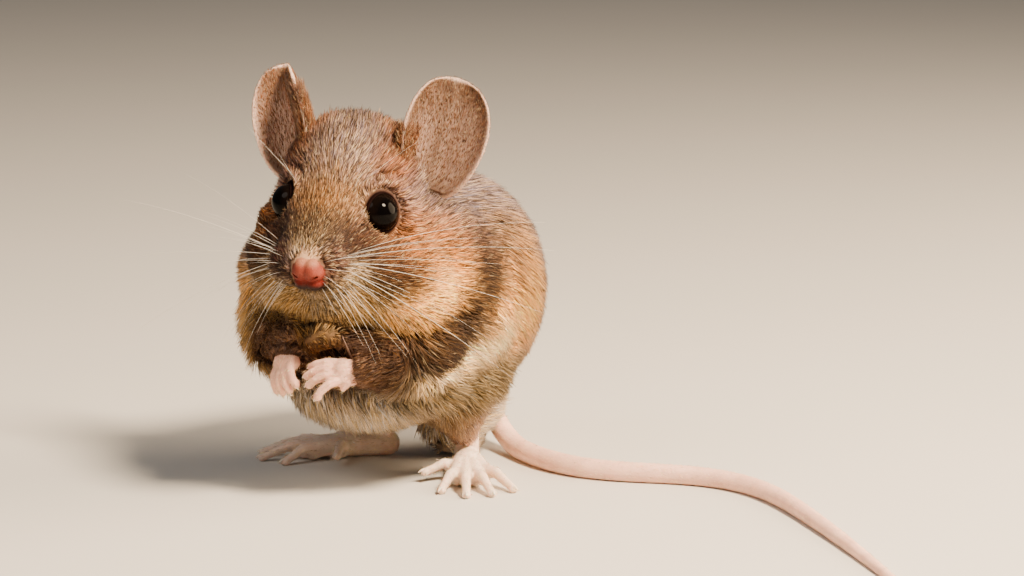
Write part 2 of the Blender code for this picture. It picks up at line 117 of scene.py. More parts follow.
class MouseColours(bpy.types.PropertyGroup):
    """The colours that may be changed in the panel"""
    crown: colour_property("Crown", "#7c6456", "Grey-brown between the ears")
    brow: colour_property("Brow", "#804404", "Orange over the eyes and at the ear roots")
    face: colour_property("Face", "#865818", "Ochre brown of the face")
    bridge: colour_property("Bridge", "#4b3823", "Olive brown above the nose")
    under_eye: colour_property("Under the eye", "#2e1808", "Grey-brown under the eye")
    cheek: colour_property("Cheek", "#a25f19", "Light orange-buff of the cheek")
    muzzle: colour_property("Muzzle", "#fcdcac", "Pale side of the muzzle")
    pad: colour_property("Whisker pad", "#4c2620", "Pinkish brown between the whisker roots")
    # Dark red-brown of the mouth, also used as painted shade under the nose and by the forelegs
    mouth: colour_property("Mouth", "#1c0906", "Dark red-brown round the mouth")
    chin: colour_property("Chin", "#6e6a64", "Pale yellowish chin")
    throat: colour_property("Throat", "#b08c58", "Ochre throat")
    # The chest's own orange-brown patch, painted darker as the shade under the head and between the forelegs
    chest: colour_property("Chest", "#4c2c08", "Orange-brown patch between the forelegs")
    back: colour_property("Back", "#8d7a78", "Brown of the back")
    # Painted shade: the dark band behind the cheek, where the shoulder meets the flank, over a little darker
    # hair
    shade_streak: colour_property("Streak", "#322217", "Dark band behind the cheek")
    # Partly the flank's own orange-buff and partly painted sunlight, which makes it lighter
    flank: colour_property("Flank", "#fbb868", "Orange-buff of the flank")
    # Painted sunlight: the light band along the lower edge of the flank, on the left alone
    band: colour_property("Band", "#ffdcae", "Light band along the lower edge of the flank")
    # The buff where the flank meets the belly, painted dark as the shade under the flank
    low_flank_in_shade: colour_property("Low flank", "#6f5d3f", "Pale buff where the flank meets the belly")
    # The whitish belly, painted greyer as the shade under the body
    belly: colour_property("Belly", "#b4a490", "Whitish belly")
    # Brown of the forelegs, painted darker as the shade they lie in under the head
    limb: colour_property("Limb", "#4e3416", "Brown of the forelegs")
    dark_tip: colour_property("Dark tip", "#24160f", "Black-brown tips of the guard hairs")
    # Partly the hairs' own whitish tips and partly painted sheen where light catches the coat
    pale_tip_and_sheen: colour_property("Pale tip", "#f4d8a8", "Whitish tips that catch the light")
    whisker: colour_property("Whisker", "#f3ece2", "Clear white whiskers")
    nose: colour_property("Nose", "#74211a", "Pink pad of the nose")
    lip: colour_property("Lip", "#5e1206", "Redder skin under the nose")
    ear: colour_property("Ear", "#9a7c6c", "Bare skin of the ear")
    ear_edge: colour_property("Ear edge", "#bb9d8c", "Thin rim of the ear")
    # Brown skin at the ear's top, and painted shade in the ear's groove
    ear_shade: colour_property("Ear shade", "#543c2c", "Browner skin at the ear's groove and top")
    paw: colour_property("Paw", "#f2bfa8", "Pink skin of paws and feet")
    tail: colour_property("Tail", "#f5c7b3", "Pink skin of the tail")
    claw: colour_property("Claw", "#ead9c6", "Horn of the claws")
    eye: colour_property("Eye", "#040303", "Black-brown eye")
    floor: colour_property("Floor", "#cdc8c0", "Pale floor")


def colour(name):
    """One of the named colours, as red, green and blue."""
    return np.array(getattr(bpy.context.scene.mouse_colours, name)[:3])


def mm(name):
    """One of the named sizes, in millimetres."""
    return getattr(bpy.context.scene.mouse_sizes, name) / MM


# ---------------------------------------------------------------- modelling tools

def active(obj):
    """Makes this the active object and the only one selected."""
    bpy.ops.object.select_all(action="DESELECT")
    obj.select_set(True)
    bpy.context.view_layer.objects.active = obj


def settle(obj, matrix):
    """Moves the object's mesh, in millimetres, by the matrix and leaves the object at the origin."""
    obj.data.transform(matrix)
    if matrix.determinant() < 0:
        obj.data.flip_normals()
    obj.matrix_world = Matrix.Identity(4)
    return obj


def added(operator, matrix, **settings):
    """The shape that an operator adds with these settings, moved by the matrix."""
    bpy.ops.object.select_all(action="DESELECT")
    operator(**settings)
    return settle(bpy.context.object, matrix)


def ball(centre, radii, place=None, segments=24):
    """An ellipsoid of these radii, in the frame of a place if one is given."""
    shape = Matrix.Translation(Vector(centre)) @ Matrix.Diagonal((*radii, 1.0))
    return added(bpy.ops.mesh.primitive_uv_sphere_add, (place or Matrix.Identity(4)) @ shape,
                 segments=segments, ring_count=segments * 2 // 3, radius=1.0)


def limb(points, radii, place=None, vertices=16):
    """A round limb that passes through the points, with its own radius at each one."""
    points = [Vector(p) for p in points]
    pieces = [ball(p, (r, r, r), place, vertices) for p, r in zip(points, radii)]
    for (a, b), (ra, rb) in zip(zip(points, points[1:]), zip(radii, radii[1:])):
        length = (b - a).length
        turn = (b - a).to_track_quat("Z", "Y").to_matrix().to_4x4()
        shape = Matrix.Translation(a) @ turn @ Matrix.Translation((0, 0, length / 2))
        pieces.append(added(bpy.ops.mesh.primitive_cone_add, (place or Matrix.Identity(4)) @ shape,
                            vertices=vertices, radius1=ra, radius2=rb, depth=length))
    return pieces


def flat(items):
    """The items of a list that may hold lists."""
    return [x for item in items for x in (flat(item) if isinstance(item, list) else [item])]


def joined(name, pieces):
    """The pieces as one object, with their surfaces as they are."""
    pieces = flat(pieces)
    bpy.ops.object.select_all(action="DESELECT")
    for piece in pieces:
        piece.select_set(True)
    bpy.context.view_layer.objects.active = pieces[0]
    if len(pieces) > 1:
        bpy.ops.object.join()
    obj = bpy.context.object
    obj.name = name
    return obj


def apply(obj, kind, **settings):
    """Adds a modifier with these settings and makes its result the object's mesh."""
    modifier = obj.modifiers.new(kind.title(), kind)
    for key, value in settings.items():
        setattr(modifier, key, value)
    active(obj)
    bpy.ops.object.modifier_apply(modifier=modifier.name)


def edited(obj, operator, **settings):
    """Runs an operator of the edit mode on the whole of the object's mesh."""
    active(obj)
    bpy.ops.object.mode_set(mode="EDIT")
    bpy.ops.mesh.select_all(action="SELECT")
    operator(**settings)
    bpy.ops.object.mode_set(mode="OBJECT")


def melted(name, pieces, voxel, smoothing):
    """The pieces as one closed surface, softened where they meet."""
    obj = joined(name, pieces)
    apply(obj, "REMESH", mode="VOXEL", voxel_size=voxel)
    apply(obj, "SMOOTH", factor=0.5, iterations=smoothing)
    return obj


def boolean(obj, other, operation):
    """Joins the other object to obj or takes it away, and then removes it."""
    apply(obj, "BOOLEAN", operation=operation, solver="MANIFOLD", object=other)
    bpy.data.objects.remove(other)


def read(items, key, width=1, kind=np.float32):
    """This value of every item of a mesh's collection, as an array."""
    values = np.empty(len(items) * width, kind)
    items.foreach_get(key, values)
    return values.reshape(-1, width) if width > 1 else values


def coordinates(mesh):
    """The mesh's vertices as rows of an array."""
    return read(mesh.vertices, "co", 3).astype(float)


def vertex_normals(mesh):
    """The direction out of the surface at each vertex, as rows of an array."""
    return read(mesh.vertex_normals, "vector", 3).astype(float)


def triangles(mesh):
    """The three vertices of each triangle as rows of an array."""
    return read(mesh.loops, "vertex_index", kind=np.int32).reshape(-1, 3)


def surface_tree(mesh):
    """A tree that finds the nearest place on the mesh."""
    return BVHTree.FromPolygons(coordinates(mesh).tolist(), [tuple(p.vertices) for p in mesh.polygons])


def set_coordinates(mesh, values):
    """Moves the mesh's vertices to the rows of an array."""
    mesh.vertices.foreach_set("co", values.astype(np.float32).ravel())
    mesh.update()


def paint(mesh, name, values):
    """Stores a colour for each vertex under this name."""
    attribute = mesh.attributes.new(name, "FLOAT_COLOR", "POINT")
    rows = np.ones((len(values), 4), np.float32)
    rows[:, :3] = values
    attribute.data.foreach_set("color", rows.ravel())


def mesh_of(name, points, faces):
    """A new object from arrays of points and of triangles or quads."""
    mesh = bpy.data.meshes.new(name)
    sides = faces.shape[1]
    mesh.vertices.add(len(points))
    mesh.vertices.foreach_set("co", points.astype(np.float32).ravel())
    mesh.loops.add(faces.size)
    mesh.loops.foreach_set("vertex_index", faces.astype(np.int32).ravel())
    mesh.polygons.add(len(faces))
    mesh.polygons.foreach_set("loop_start", np.arange(0, faces.size, sides, dtype=np.int32))
    mesh.update(calc_edges=True)
    obj = bpy.data.objects.new(name, mesh)
    bpy.context.scene.collection.objects.link(obj)
    return obj


def finish_piece(obj, name, materials, replaces=()):
    """Brings a piece to metres, and gives it its name, body, finish and the solids it stands for."""
    obj.data.transform(Matrix.Scale(MM, 4))
    obj.name = obj.data.name = name
    obj.data.shade_smooth()
    obj.data.materials.clear()
    for made in materials:
        obj.data.materials.append(made)
    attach(obj, "root")
    if replaces:
        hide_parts(*replaces)
    return obj


# ---------------------------------------------------------------- arithmetic on arrays

def unit(vectors):
    """The vectors at a length of 1."""
    return vectors / np.maximum(np.linalg.norm(vectors, axis=-1, keepdims=True), 1e-9)


def step(values, low, high):
    """0 below low, 1 above high and a smooth change between them."""
    t = np.clip((values - low) / (high - low), 0, 1)
    return t * t * (3 - 2 * t)


def mix(a, b, share):
    """a where the share is 0, b where it is 1, and the values between them."""
    return a + (b - a) * share


def moved(points, matrix):
    """The points moved by the matrix."""
    m = np.array(matrix)
    return points @ m[:3, :3].T + m[:3, 3]


def from_line(points, start, end):
    """How far each point is from a line from start to end, and its share of the way along."""
    start, end = np.array(start), np.array(end)
    run = end - start
    share = np.clip((points - start) @ run / (run @ run), 0, 1)
    return np.linalg.norm(points - start - share[:, None] * run, axis=1), share


def nearest(points, centres):
    """For each point, the number of the centre that is nearest."""
    tree = KDTree(len(centres))
    for i, centre in enumerate(centres):
        tree.insert(centre, i)
    tree.balance()
    return np.array([tree.find(p)[1] for p in points])


def rings_round(middles, radii, aside, up, count):
    """A ring of this many points round each of the middles."""
    angles = np.arange(count) * 2 * math.pi / count
    out = np.cos(angles)[None, :, None] * aside[:, None] + np.sin(angles)[None, :, None] * up[:, None]
    return middles[:, None] + radii[:, None, None] * out


def wander(points, size, seed):
    """A smooth random number between about -1 and 1 that changes over this many millimetres."""
    rng = np.random.default_rng(seed)
    total = np.zeros(len(points))
    for _ in range(6):
        wave = unit(rng.normal(size=3)) * 2 * math.pi / (size * rng.uniform(1.2, 3.0))
        total += np.sin(points @ wave + rng.uniform(0, 2 * math.pi))
    return total / 3


# ---------------------------------------------------------------- where the parts of the mouse are

def turned(yaw, pitch, roll):
    """X is left, Y is forward and Z is up for something that faces -Y and is then turned, in degrees."""
    facing = Matrix(((1, 0, 0), (0, -1, 0), (0, 0, 1))).to_4x4()
    facing = Matrix.Rotation(math.radians(yaw), 4, "Z") @ facing
    facing = facing @ Matrix.Rotation(math.radians(-pitch), 4, "X")
    return facing @ Matrix.Rotation(math.radians(roll), 4, "Y")


HEAD = Matrix.Translation(HEAD_CENTRE) @ turned(HEAD_YAW, HEAD_PITCH, HEAD_ROLL)
TO_HEAD = HEAD.inverted()
NOSE_TIP = np.array(HEAD @ (NOSE + Vector((-0.4, 1.2, 0.0))))
TAIL_ROOT = np.array((0.0, 13.0, 9.0))


def arm_points(side):
    """Shoulder, elbow and wrist of a foreleg."""
    if side > 0:
        return [Vector((12.6, -20.5, 23.5)), Vector((14.4, -23.6, 18.6)), Vector((9.2, -31.6, 18.5))]
    return [Vector((-12.6, -20.5, 23.5)), Vector((-10.8, -26.2, 18.6)), Vector((-1.4, -33.0, 20.0))]


def hand_frame(side):
    """At the wrist, with Y along the fingers and Z out of the back of the hand."""
    wrist = arm_points(side)[2]
    if side > 0:
        fingers, back = Vector((-0.80, -0.55, -0.14)), Vector((0.30, -0.65, 0.70))
    else:
        fingers, back = Vector((0.28, -0.48, -0.83)), Vector((-0.20, -0.86, 0.44))
    y = fingers.normalized()
    x = y.cross(back).normalized()
    z = x.cross(y)
    return Matrix.Translation(wrist) @ Matrix((x, y, z)).transposed().to_4x4()


def foot_frame(side):
    """At the heel, with Y towards the toes and Z up."""
    heel = Vector((side * LEFT_HEEL.x, LEFT_HEEL.y, LEFT_HEEL.z))
    return Matrix.Translation(heel) @ turned(side * FOOT_SPLAY, 0, 0)


def ankle(side):
    """The middle of the ankle, above the heel."""
    return foot_frame(side) @ Vector((0, 2.6, 4.4))


def knee(side):
    """The middle of the knee, low on the flank."""
    return Vector((side * 10.8, -15.5, 15.0))


def eye_frame(side):
    """At the eye's centre, with Z along the line of sight and X towards the inner corner of the lids."""
    look = Vector((side * 0.83, 0.46, 0.26)).normalized()
    corner = Vector((-side * 0.45, 0.85, -0.35))
    x = (corner - corner.dot(look) * look).normalized()
    y = look.cross(x)
    at = Matrix.Translation((side * EYE_SIDE, EYE_FORWARD, 0))
    return HEAD @ at @ Matrix((x, y, look)).transposed().to_4x4()


EAR_START = math.cos(math.pi * 0.10)             # cosine of the angle where the root cuts off an ear's oval
EAR_CURL = 1.2                                   # how far backwards the tip of an ear bends
EAR_TAPERS = {"left": 0.0, "right": 0.30}        # how much narrower than the oval each ear gets at its tip
EAR_LEANS = {"left": 0.0, "right": 3.2}          # how far outwards the tip of each ear leans
EAR_POSES = {  # root in the head's frame, then yaw outwards, lean back and tilt outwards
    "left": (Vector((9.6, -9.6, 1.2)), 20.0, 8.0, 15.0),
    "right": (Vector((-7.4, -9.4, 0.9)), 26.0, 8.0, 14.0),
}


def ear_frame(name):
    """At the ear's root, with X across the ear, Y out of its open side and Z up to its tip."""
    root, yaw, lean, tilt = EAR_POSES[name]
    side = SIDES[name]
    turn = Matrix.Rotation(math.radians(-side * yaw), 4, "Z") @ Matrix.Rotation(math.radians(lean), 4, "X")
    return HEAD @ Matrix.Translation(root) @ Matrix.Rotation(math.radians(side * tilt), 4, "Y") @ turn


def ear_half_width(angle, share):
    """Half the ear's width, by its angle along the outline and its share of the height."""
    return np.maximum(EAR_WIDTH / 2 * np.sin(angle) ** 0.75 * (0.84 + 0.28 * share), 0.2)


def ear_taper(name, share):
    """How much narrower the ear is towards its tip, by its share of the height."""
    return 1 - EAR_TAPERS[name] * share ** 2


def ear_surface(s, t):
    """A point of the ear's sheet: s runs from root to tip and t from edge to edge, as -1 to 1."""
    angle = math.pi * (0.10 + 0.8999 * s)
    share = (EAR_START - math.cos(angle)) / (1 + EAR_START)
    wrap = math.radians(88 - 40 * s)
    radius = ear_half_width(angle, share) / math.sin(wrap)
    across = wrap * t
    forward = radius * (1 - math.cos(across)) - EAR_CURL * s * s
    return Vector((radius * math.sin(across), forward, EAR_LENGTH * share))


def on_ear(points, name):
    """Each point in the ear's frame, and its shares of the ear's height and half width.

    The share of the width is below 0 on the side of the crown."""
    local = moved(points, ear_frame(name).inverted())
    share = np.clip(local[:, 2] / EAR_LENGTH, 0, 1)
    angle = np.arccos(np.clip(EAR_START - share * (1 + EAR_START), -0.9999, 1))
    across = (local[:, 0] * SIDES[name] - EAR_LEANS[name] * share ** 2) / ear_half_width(angle, share)
    return local, share, across / ear_taper(name, share)


def whisker_line(side, rise, length, count):
    """Points along a main whisker, from inside its pad out to its tip."""
    root = Vector((side * WHISKER_ROOT.x, WHISKER_ROOT.y, WHISKER_ROOT.z))
    heading = Vector((side, -0.10, rise)).normalized()
    shares = [i / (count - 1) for i in range(count)]
    return [HEAD @ (root + (heading * s + WHISKER_BEND * s * s) * length) for s in shares]


def tail_radius(s):
    """The tail's radius at this share of its length."""
    return TAIL_TIP_RADIUS + (TAIL_BASE_RADIUS - TAIL_TIP_RADIUS) * (1 - max(s, 0) ** 2)


def tail_heading(s):
    """Which way the tail runs, from +X towards +Y: it sways once to the back on its way to the front."""
    sway = TAIL_SWAY * math.exp(-((s - SWAY_AT) / SWAY_WIDTH) ** 2)
    return math.radians(TAIL_HEADING + TAIL_DRIFT * s + sway)


def tail_line(count):
    """Shares of the tail's length, the middle of the tail there and its heading."""
    shares = np.linspace(0, 1, count)
    points, headings, at = [], [], TAIL_START.copy()
    for i, s in enumerate(shares):
        if i:
            middle = tail_heading((s + shares[i - 1]) / 2)
            at += Vector((math.cos(middle), math.sin(middle), 0)) * TAIL_LENGTH * (s - shares[i - 1])
        lift = TAIL_LIFT * max(0.0, 1 - s * TAIL_LENGTH / TAIL_LIFTED) ** 2
        points.append((at.x, at.y, tail_radius(s) - 0.15 + lift))
        headings.append(tail_heading(s))
    return shares, np.array(points), np.array(headings)


def head_share(points):
    """1 on the head, 0 on the body and a smooth change over the neck."""
    head = moved(points, TO_HEAD)
    return step(head[:, 1], -17.0, -9.0) * step(head[:, 2], -15.0, -10.5)


def limb_shares(points):
    """For each lower limb: its share of each point, how far down it the point is and which way it runs."""
    rows = []
    for side in SIDES.values():
        _, elbow, wrist = arm_points(side)
        for start, end, reach in ((elbow, wrist, 5.4), (knee(side), ankle(side), 5.6)):
            apart, along = from_line(points, start, end)
            share = (1 - step(apart, reach * 0.6, reach)) * step(along, 0.0, 0.5)
            rows.append((share, along, np.array((end - start).normalized())))
    return rows


def near_eyes(points, near, far):
    """1 within the near distance of an eye's centre and 0 beyond the far one."""
    shares = []
    for side in SIDES.values():
        centre = np.array(eye_frame(side).translation)
        shares.append(1 - step(np.linalg.norm(points - centre, axis=1), near, far))
    return np.maximum(*shares)


def bare_bridge(points):
    """How bare the pink skin above the nose pad is."""
    head = moved(points, TO_HEAD) - np.array(NOSE + Vector((-0.2, -0.6, 2.3)))
    return np.exp(-((head / np.array((2.3, 2.3, 1.7))) ** 2).sum(axis=1))


def paired_spot(points, middle, centre, reach):
    """How near each point is to a place that the head has on both sides of this middle."""
    head = moved(points, TO_HEAD)
    apart = np.stack([np.abs(head[:, 0] - middle), head[:, 1], head[:, 2]], axis=1) - np.array(centre)
    return np.exp(-((apart / np.array(reach)) ** 2).sum(axis=1))


def whisker_pads(points):
    """How near the middle of a whisker pad, where the coat is thin, each point is."""
    return paired_spot(points, 0.0, (4.3, 11.3, -5.5), (1.8, 1.9, 2.0))


def crown(points):
    """How near the top of the head, where the hairs stand up, each point is."""
    return step(moved(points, TO_HEAD)[:, 2], 6.0, 9.5) * head_share(points)


def ear_tufts(points):
    """How near the tall tufts before the roots of the ears each point is."""
    return paired_spot(points, 0.6, (5.4, -8.4, 9.8), (1.8, 2.4, 2.6))


TAIL_COAT, NOSE_COAT, FLOOR_COAT = 0.5, 0.85, 0.6       # depth of the coat where it ends at each of these


def coat_depth(points):
    """How far the coat stands off the skin, in millimetres."""
    head = moved(points, TO_HEAD)
    on_head = head_share(points)
    forward = head[:, 1]
    depth = mix(mm("body_coat"), mm("crown_coat"), on_head)
    depth = mix(depth, mm("face_coat"), on_head * step(forward, -5.0, 5.0))
    depth = mix(depth, mm("muzzle_coat"), on_head * step(forward, 6.0, 10.0))
    for share, along, _ in limb_shares(points):
        depth = mix(depth, mix(mm("limb_coat") * 1.6, mm("limb_coat") * 0.45, along), share)
    near_tail = 1 - step(np.linalg.norm(points - np.array((0, 10.0, 4.0)), axis=1), 3.0, 8.0)
    depth = mix(depth, TAIL_COAT, near_tail)
    near_nose = 1 - step(np.linalg.norm(head - np.array(NOSE), axis=1), 2.0, 3.4)
    depth = mix(depth, NOSE_COAT, near_nose)
    return mix(depth, FLOOR_COAT, 1 - step(points[:, 2], 0.5, 3.5))


# ---------------------------------------------------------------- materials

def node(tree, kind, links=(), **settings):
    """Adds a node: settings are its properties or its sockets' values, and links are what feeds them."""
    made = tree.nodes.new(kind)
    for key, value in settings.items():
        if hasattr(made, key):
            setattr(made, key, value)
        else:
            made.inputs[key.replace("_", " ")].default_value = value
    for socket, source in dict(links).items():
        tree.links.new(source, made.inputs[socket])
    return made


def per_mm(size):
    """The pattern scale whose features are this many millimetres across."""
    return 1 / (size * MM)


def mottled(name, spot, amount, base=None, creases=None, **settings):
    """A material whose colour varies by this amount in spots of this many millimetres.

    The colour is the base if one is named, and otherwise the pigment painted on the piece.  Creases are
    the size and depth, in millimetres, of a fine pattern of cells, and settings are values of the shader."""
    made = bpy.data.materials.get(name)
    if made:
        return made
    made = bpy.data.materials.new(name)
    made.use_nodes = True
    tree = made.node_tree
    shader = tree.nodes["Principled BSDF"]
    if base:
        source = node(tree, "ShaderNodeRGB")
        source.outputs["Color"].default_value = (*colour(base), 1)
    else:
        source = node(tree, "ShaderNodeAttribute", attribute_name="pigment")
    place = node(tree, "ShaderNodeTexCoord")
    noise = node(tree, "ShaderNodeTexNoise", {"Vector": place.outputs["Object"]},
                 Scale=per_mm(spot), Detail=3.0)
    spread = node(tree, "ShaderNodeMapRange", {"Value": noise.outputs["Fac"]},
                  To_Min=1 - amount, To_Max=1 + amount)
    spotted = node(tree, "ShaderNodeMix", {"A": source.outputs["Color"], "B": spread.outputs["Result"]},
                   data_type="RGBA", blend_type="MULTIPLY", Factor=1.0)
    tree.links.new(spotted.outputs["Result"], shader.inputs["Base Color"])
    if creases:
        grain, depth = creases
        cells = node(tree, "ShaderNodeTexVoronoi", {"Vector": place.outputs["Object"]}, Scale=per_mm(grain))
        bump = node(tree, "ShaderNodeBump", {"Height": cells.outputs["Distance"]},
                    Distance=depth * MM, Strength=1.0)
        tree.links.new(bump.outputs["Normal"], shader.inputs["Normal"])
    for key, value in settings.items():
        shader.inputs[key.replace("_", " ")].default_value = value
    return made


def fur_material():
    """Keratin hair, pigmented in bands: rather matt, with little sheen where light grazes it."""
    return mottled("Agouti fur", 0.35, 0.16, Roughness=0.55, IOR=1.55, Specular_IOR_Level=0.12)


def skin_material(name, grain, depth, roughness, gloss, glow):
    """Living skin: its pigment on the surface, fine creases, and light that spreads a little inside it."""
    return mottled(name, grain * 4, 0.12, creases=(grain, depth), Roughness=roughness, IOR=1.4,
                   Specular_IOR_Level=gloss, Subsurface_Weight=glow, Subsurface_Radius=(1.0, 0.4, 0.25),
                   Subsurface_Scale=0.6 * MM)


def eye_material():
    """A wet cornea over a black-brown iris: almost a mirror, with a deep dark inside."""
    return mottled("Wet cornea", 0.8, 0.3, Roughness=0.05, IOR=1.376, Specular_IOR_Level=0.08)


def claw_material():
    """Thin translucent horn, smooth and slightly glossy."""
    return mottled("Claw horn", 0.25, 0.15, "claw", Roughness=0.35, IOR=1.55, Subsurface_Weight=0.2,
                   Subsurface_Scale=0.3 * MM)


def whisker_material():
    """Stiff keratin bristle: dark where it is thick, and clear and pale towards its tip."""
    return mottled("Whisker keratin", 1.5, 0.1, Roughness=0.3, IOR=1.55)


def floor_material():
    """A matt painted board with a barely visible mottle."""
    return mottled("Matt board", 60.0, 0.02, "floor", Roughness=0.9)


# ---------------------------------------------------------------- colours of the coat, with painted shade and sunlight among them

# Most of the marks on one side alone are painted shade and sunlight
ONE_SIDE = Matrix.Identity(4)   # the frame of the markings that are on one side alone
# Each marking's colour, frame (None for the body's), centre, reach and strength, and its shares of
# dark and pale tips, the pale ones partly painted sheen
MARKS_AND_PAINTED_LIGHT = [
    ("crown", HEAD, (0, -7.5, 9.5), (6.0, 8.0, 5.0), 1.6, 0.30, 0.22),
    ("crown", HEAD, (0, 0.5, 7.0), (4.6, 4.6, 3.6), 1.3, 0.26, 0.34),
    ("brow", HEAD, (6.6, -5.0, 6.5), (2.6, 4.5, 3.2), 2.4, 0.14, 0.03),
    ("brow", HEAD, (5.6, -8.6, 10.2), (2.2, 2.8, 2.8), 2.6, 0.16, 0.14),
    ("muzzle", HEAD, (10.2, -9.2, 4.8), (1.5, 1.6, 1.5), 2.4, 0.0, 0.50),
    ("face", HEAD, (0, 4.6, 3.2), (5.6, 4.4, 3.4), 1.4, 0.30, 0.22),
    ("bridge", HEAD, (0.6, 9.9, 0.2), (3.6, 2.8, 1.9), 2.6, 0.36, 0.16),
    ("under_eye", HEAD, (6.2, 6.0, -2.8), (3.2, 3.8, 2.2), 2.3, 0.34, 0.10),
    ("cheek", HEAD, (11.0, -0.5, -3.6), (4.6, 6.0, 4.0), 1.4, 0.34, 0.26),
    ("under_eye", HEAD, (10.3, 5.0, -7.5), (3.4, 3.6, 2.4), 3.6, 0.44, 0.06),
    ("muzzle", HEAD, (4.6, 8.2, -7.2), (2.2, 3.6, 1.8), 1.8, 0.06, 0.26),
    ("pad", HEAD, (4.3, 11.4, -5.4), (1.9, 2.2, 2.4), 3.0, 0.34, 0.30),
    # Partly the mouth's own dark colour and partly painted shade under the nose
    ("mouth", HEAD, (0.6, 11.6, -8.5), (4.2, 2.8, 1.0), 4.0, 0.30, 0.02),
    ("chin", HEAD, (0.3, 8.4, -11.0), (3.2, 3.0, 1.7), 2.4, 0.0, 0.20),
    ("throat", HEAD, (6.5, 3.0, -11.0), (4.0, 6.0, 2.8), 1.3, 0.08, 0.20),
    ("throat", None, (1.5, -35.0, 26.5), (10.0, 5.0, 3.4), 1.8, 0.12, 0.06),
    # The chest's patch, painted darker as the shade under the head
    ("chest", None, (1.5, -33.0, 19.6), (10.0, 7.0, 4.6), 2.4, 0.26, 0.03),
    ("cheek", None, (14.8, -17.5, 33.0), (4.0, 3.0, 4.0), 1.4, 0.14, 0.26),
    # The flank's colour, here and in the rows below, is partly painted sunlight
    ("flank", None, (17.0, -19.0, 28.6), (4.0, 4.0, 4.0), 1.8, 0.24, 0.36),
    ("flank", None, (17.4, -24.5, 25.6), (4.0, 4.0, 3.0), 2.2, 0.26, 0.36),
    ("crown", None, (14.0, -5.5, 33.5), (3.0, 4.4, 4.4), 2.4, 0.36, 0.14),
    # Painted shade: the dark band behind the cheek, on both sides in the first row and on the left alone in
    # the rest
    ("shade_streak", None, (16.0, -10.8, 31.0), (4.0, 2.6, 3.6), 2.0, 0.56, 0.08),
    ("shade_streak", ONE_SIDE, (17.4, -12.6, 27.0), (4.0, 2.8, 3.0), 5.0, 0.66, 0.04),
    ("shade_streak", ONE_SIDE, (17.7, -16.6, 23.6), (4.0, 3.2, 2.3), 6.0, 0.66, 0.04),
    ("shade_streak", ONE_SIDE, (17.9, -21.5, 21.6), (4.0, 3.6, 1.8), 5.0, 0.60, 0.05),
    ("shade_streak", ONE_SIDE, (16.6, -26.7, 20.6), (4.0, 3.4, 1.8), 3.0, 0.50, 0.05),
    # Painted shade over the left foreleg, in the mouth's dark colour
    ("mouth", ONE_SIDE, (13.0, -29.6, 20.6), (3.4, 3.0, 1.8), 1.8, 0.40, 0.02),
    ("throat", ONE_SIDE, (-11.5, -26.5, 21.0), (4.0, 6.0, 5.0), 2.0, 0.20, 0.06),
    # Painted shade between the forelegs, in the mouth's dark colour
    ("mouth", ONE_SIDE, (6.0, -31.0, 18.5), (4.0, 3.0, 3.0), 1.0, 0.30, 0.02),
    ("back", None, (0, -6.0, 42.0), (14.0, 22.0, 12.0), 1.4, 0.30, 0.26),
    ("back", None, (0, 10.0, 30.0), (12.0, 10.0, 12.0), 1.0, 0.32, 0.12),
    ("cheek", None, (14.6, -9.5, 33.0), (3.6, 5.0, 5.0), 0.5, 0.24, 0.20),
    ("flank", None, (15.0, -1.0, 29.0), (5.0, 5.0, 6.0), 1.6, 0.10, 0.20),
    ("flank", None, (16.0, -6.0, 24.5), (5.0, 6.0, 4.0), 2.0, 0.08, 0.26),
    # Painted sunlight: the light band along the lower edge of the left flank
    ("band", ONE_SIDE, (16.3, -9.0, 20.4), (5.0, 3.6, 2.4), 2.4, 0.02, 0.50),
    ("band", ONE_SIDE, (16.2, -14.5, 18.3), (5.0, 4.0, 1.9), 2.8, 0.02, 0.50),
    ("band", ONE_SIDE, (16.8, -19.4, 16.8), (5.0, 4.0, 1.5), 2.0, 0.06, 0.40),
    ("flank", None, (0, 14.0, 16.0), (16.0, 7.0, 8.0), 0.7, 0.20, 0.14),
    # The low flank, painted dark as the shade under the flank
    ("low_flank_in_shade", None, (15.4, -8.0, 14.4), (5.0, 7.0, 2.6), 2.6, 0.10, 0.24),
    ("low_flank_in_shade", None, (14.5, -13.0, 11.6), (6.0, 9.0, 3.4), 2.4, 0.10, 0.20),
    # The belly, painted greyer as the shade under the body
    ("belly", None, (0, -20.0, 7.0), (12.0, 16.0, 5.5), 2.0, 0.0, 0.20),
    ("belly", None, (0, 2.0, 3.0), (10.0, 12.0, 5.0), 1.4, 0.0, 0.20),
]
DRIFT, DRIFT_SIZE = 0.9, 4.5    # how far the edges of the markings wander, and over what distance
# Painted shade: the right flank, out of the sunlight painted on the left, is mixed this much towards brown
RIGHT_FLANK_SHADE = 0.45           # how much browner the right flank is than the left one


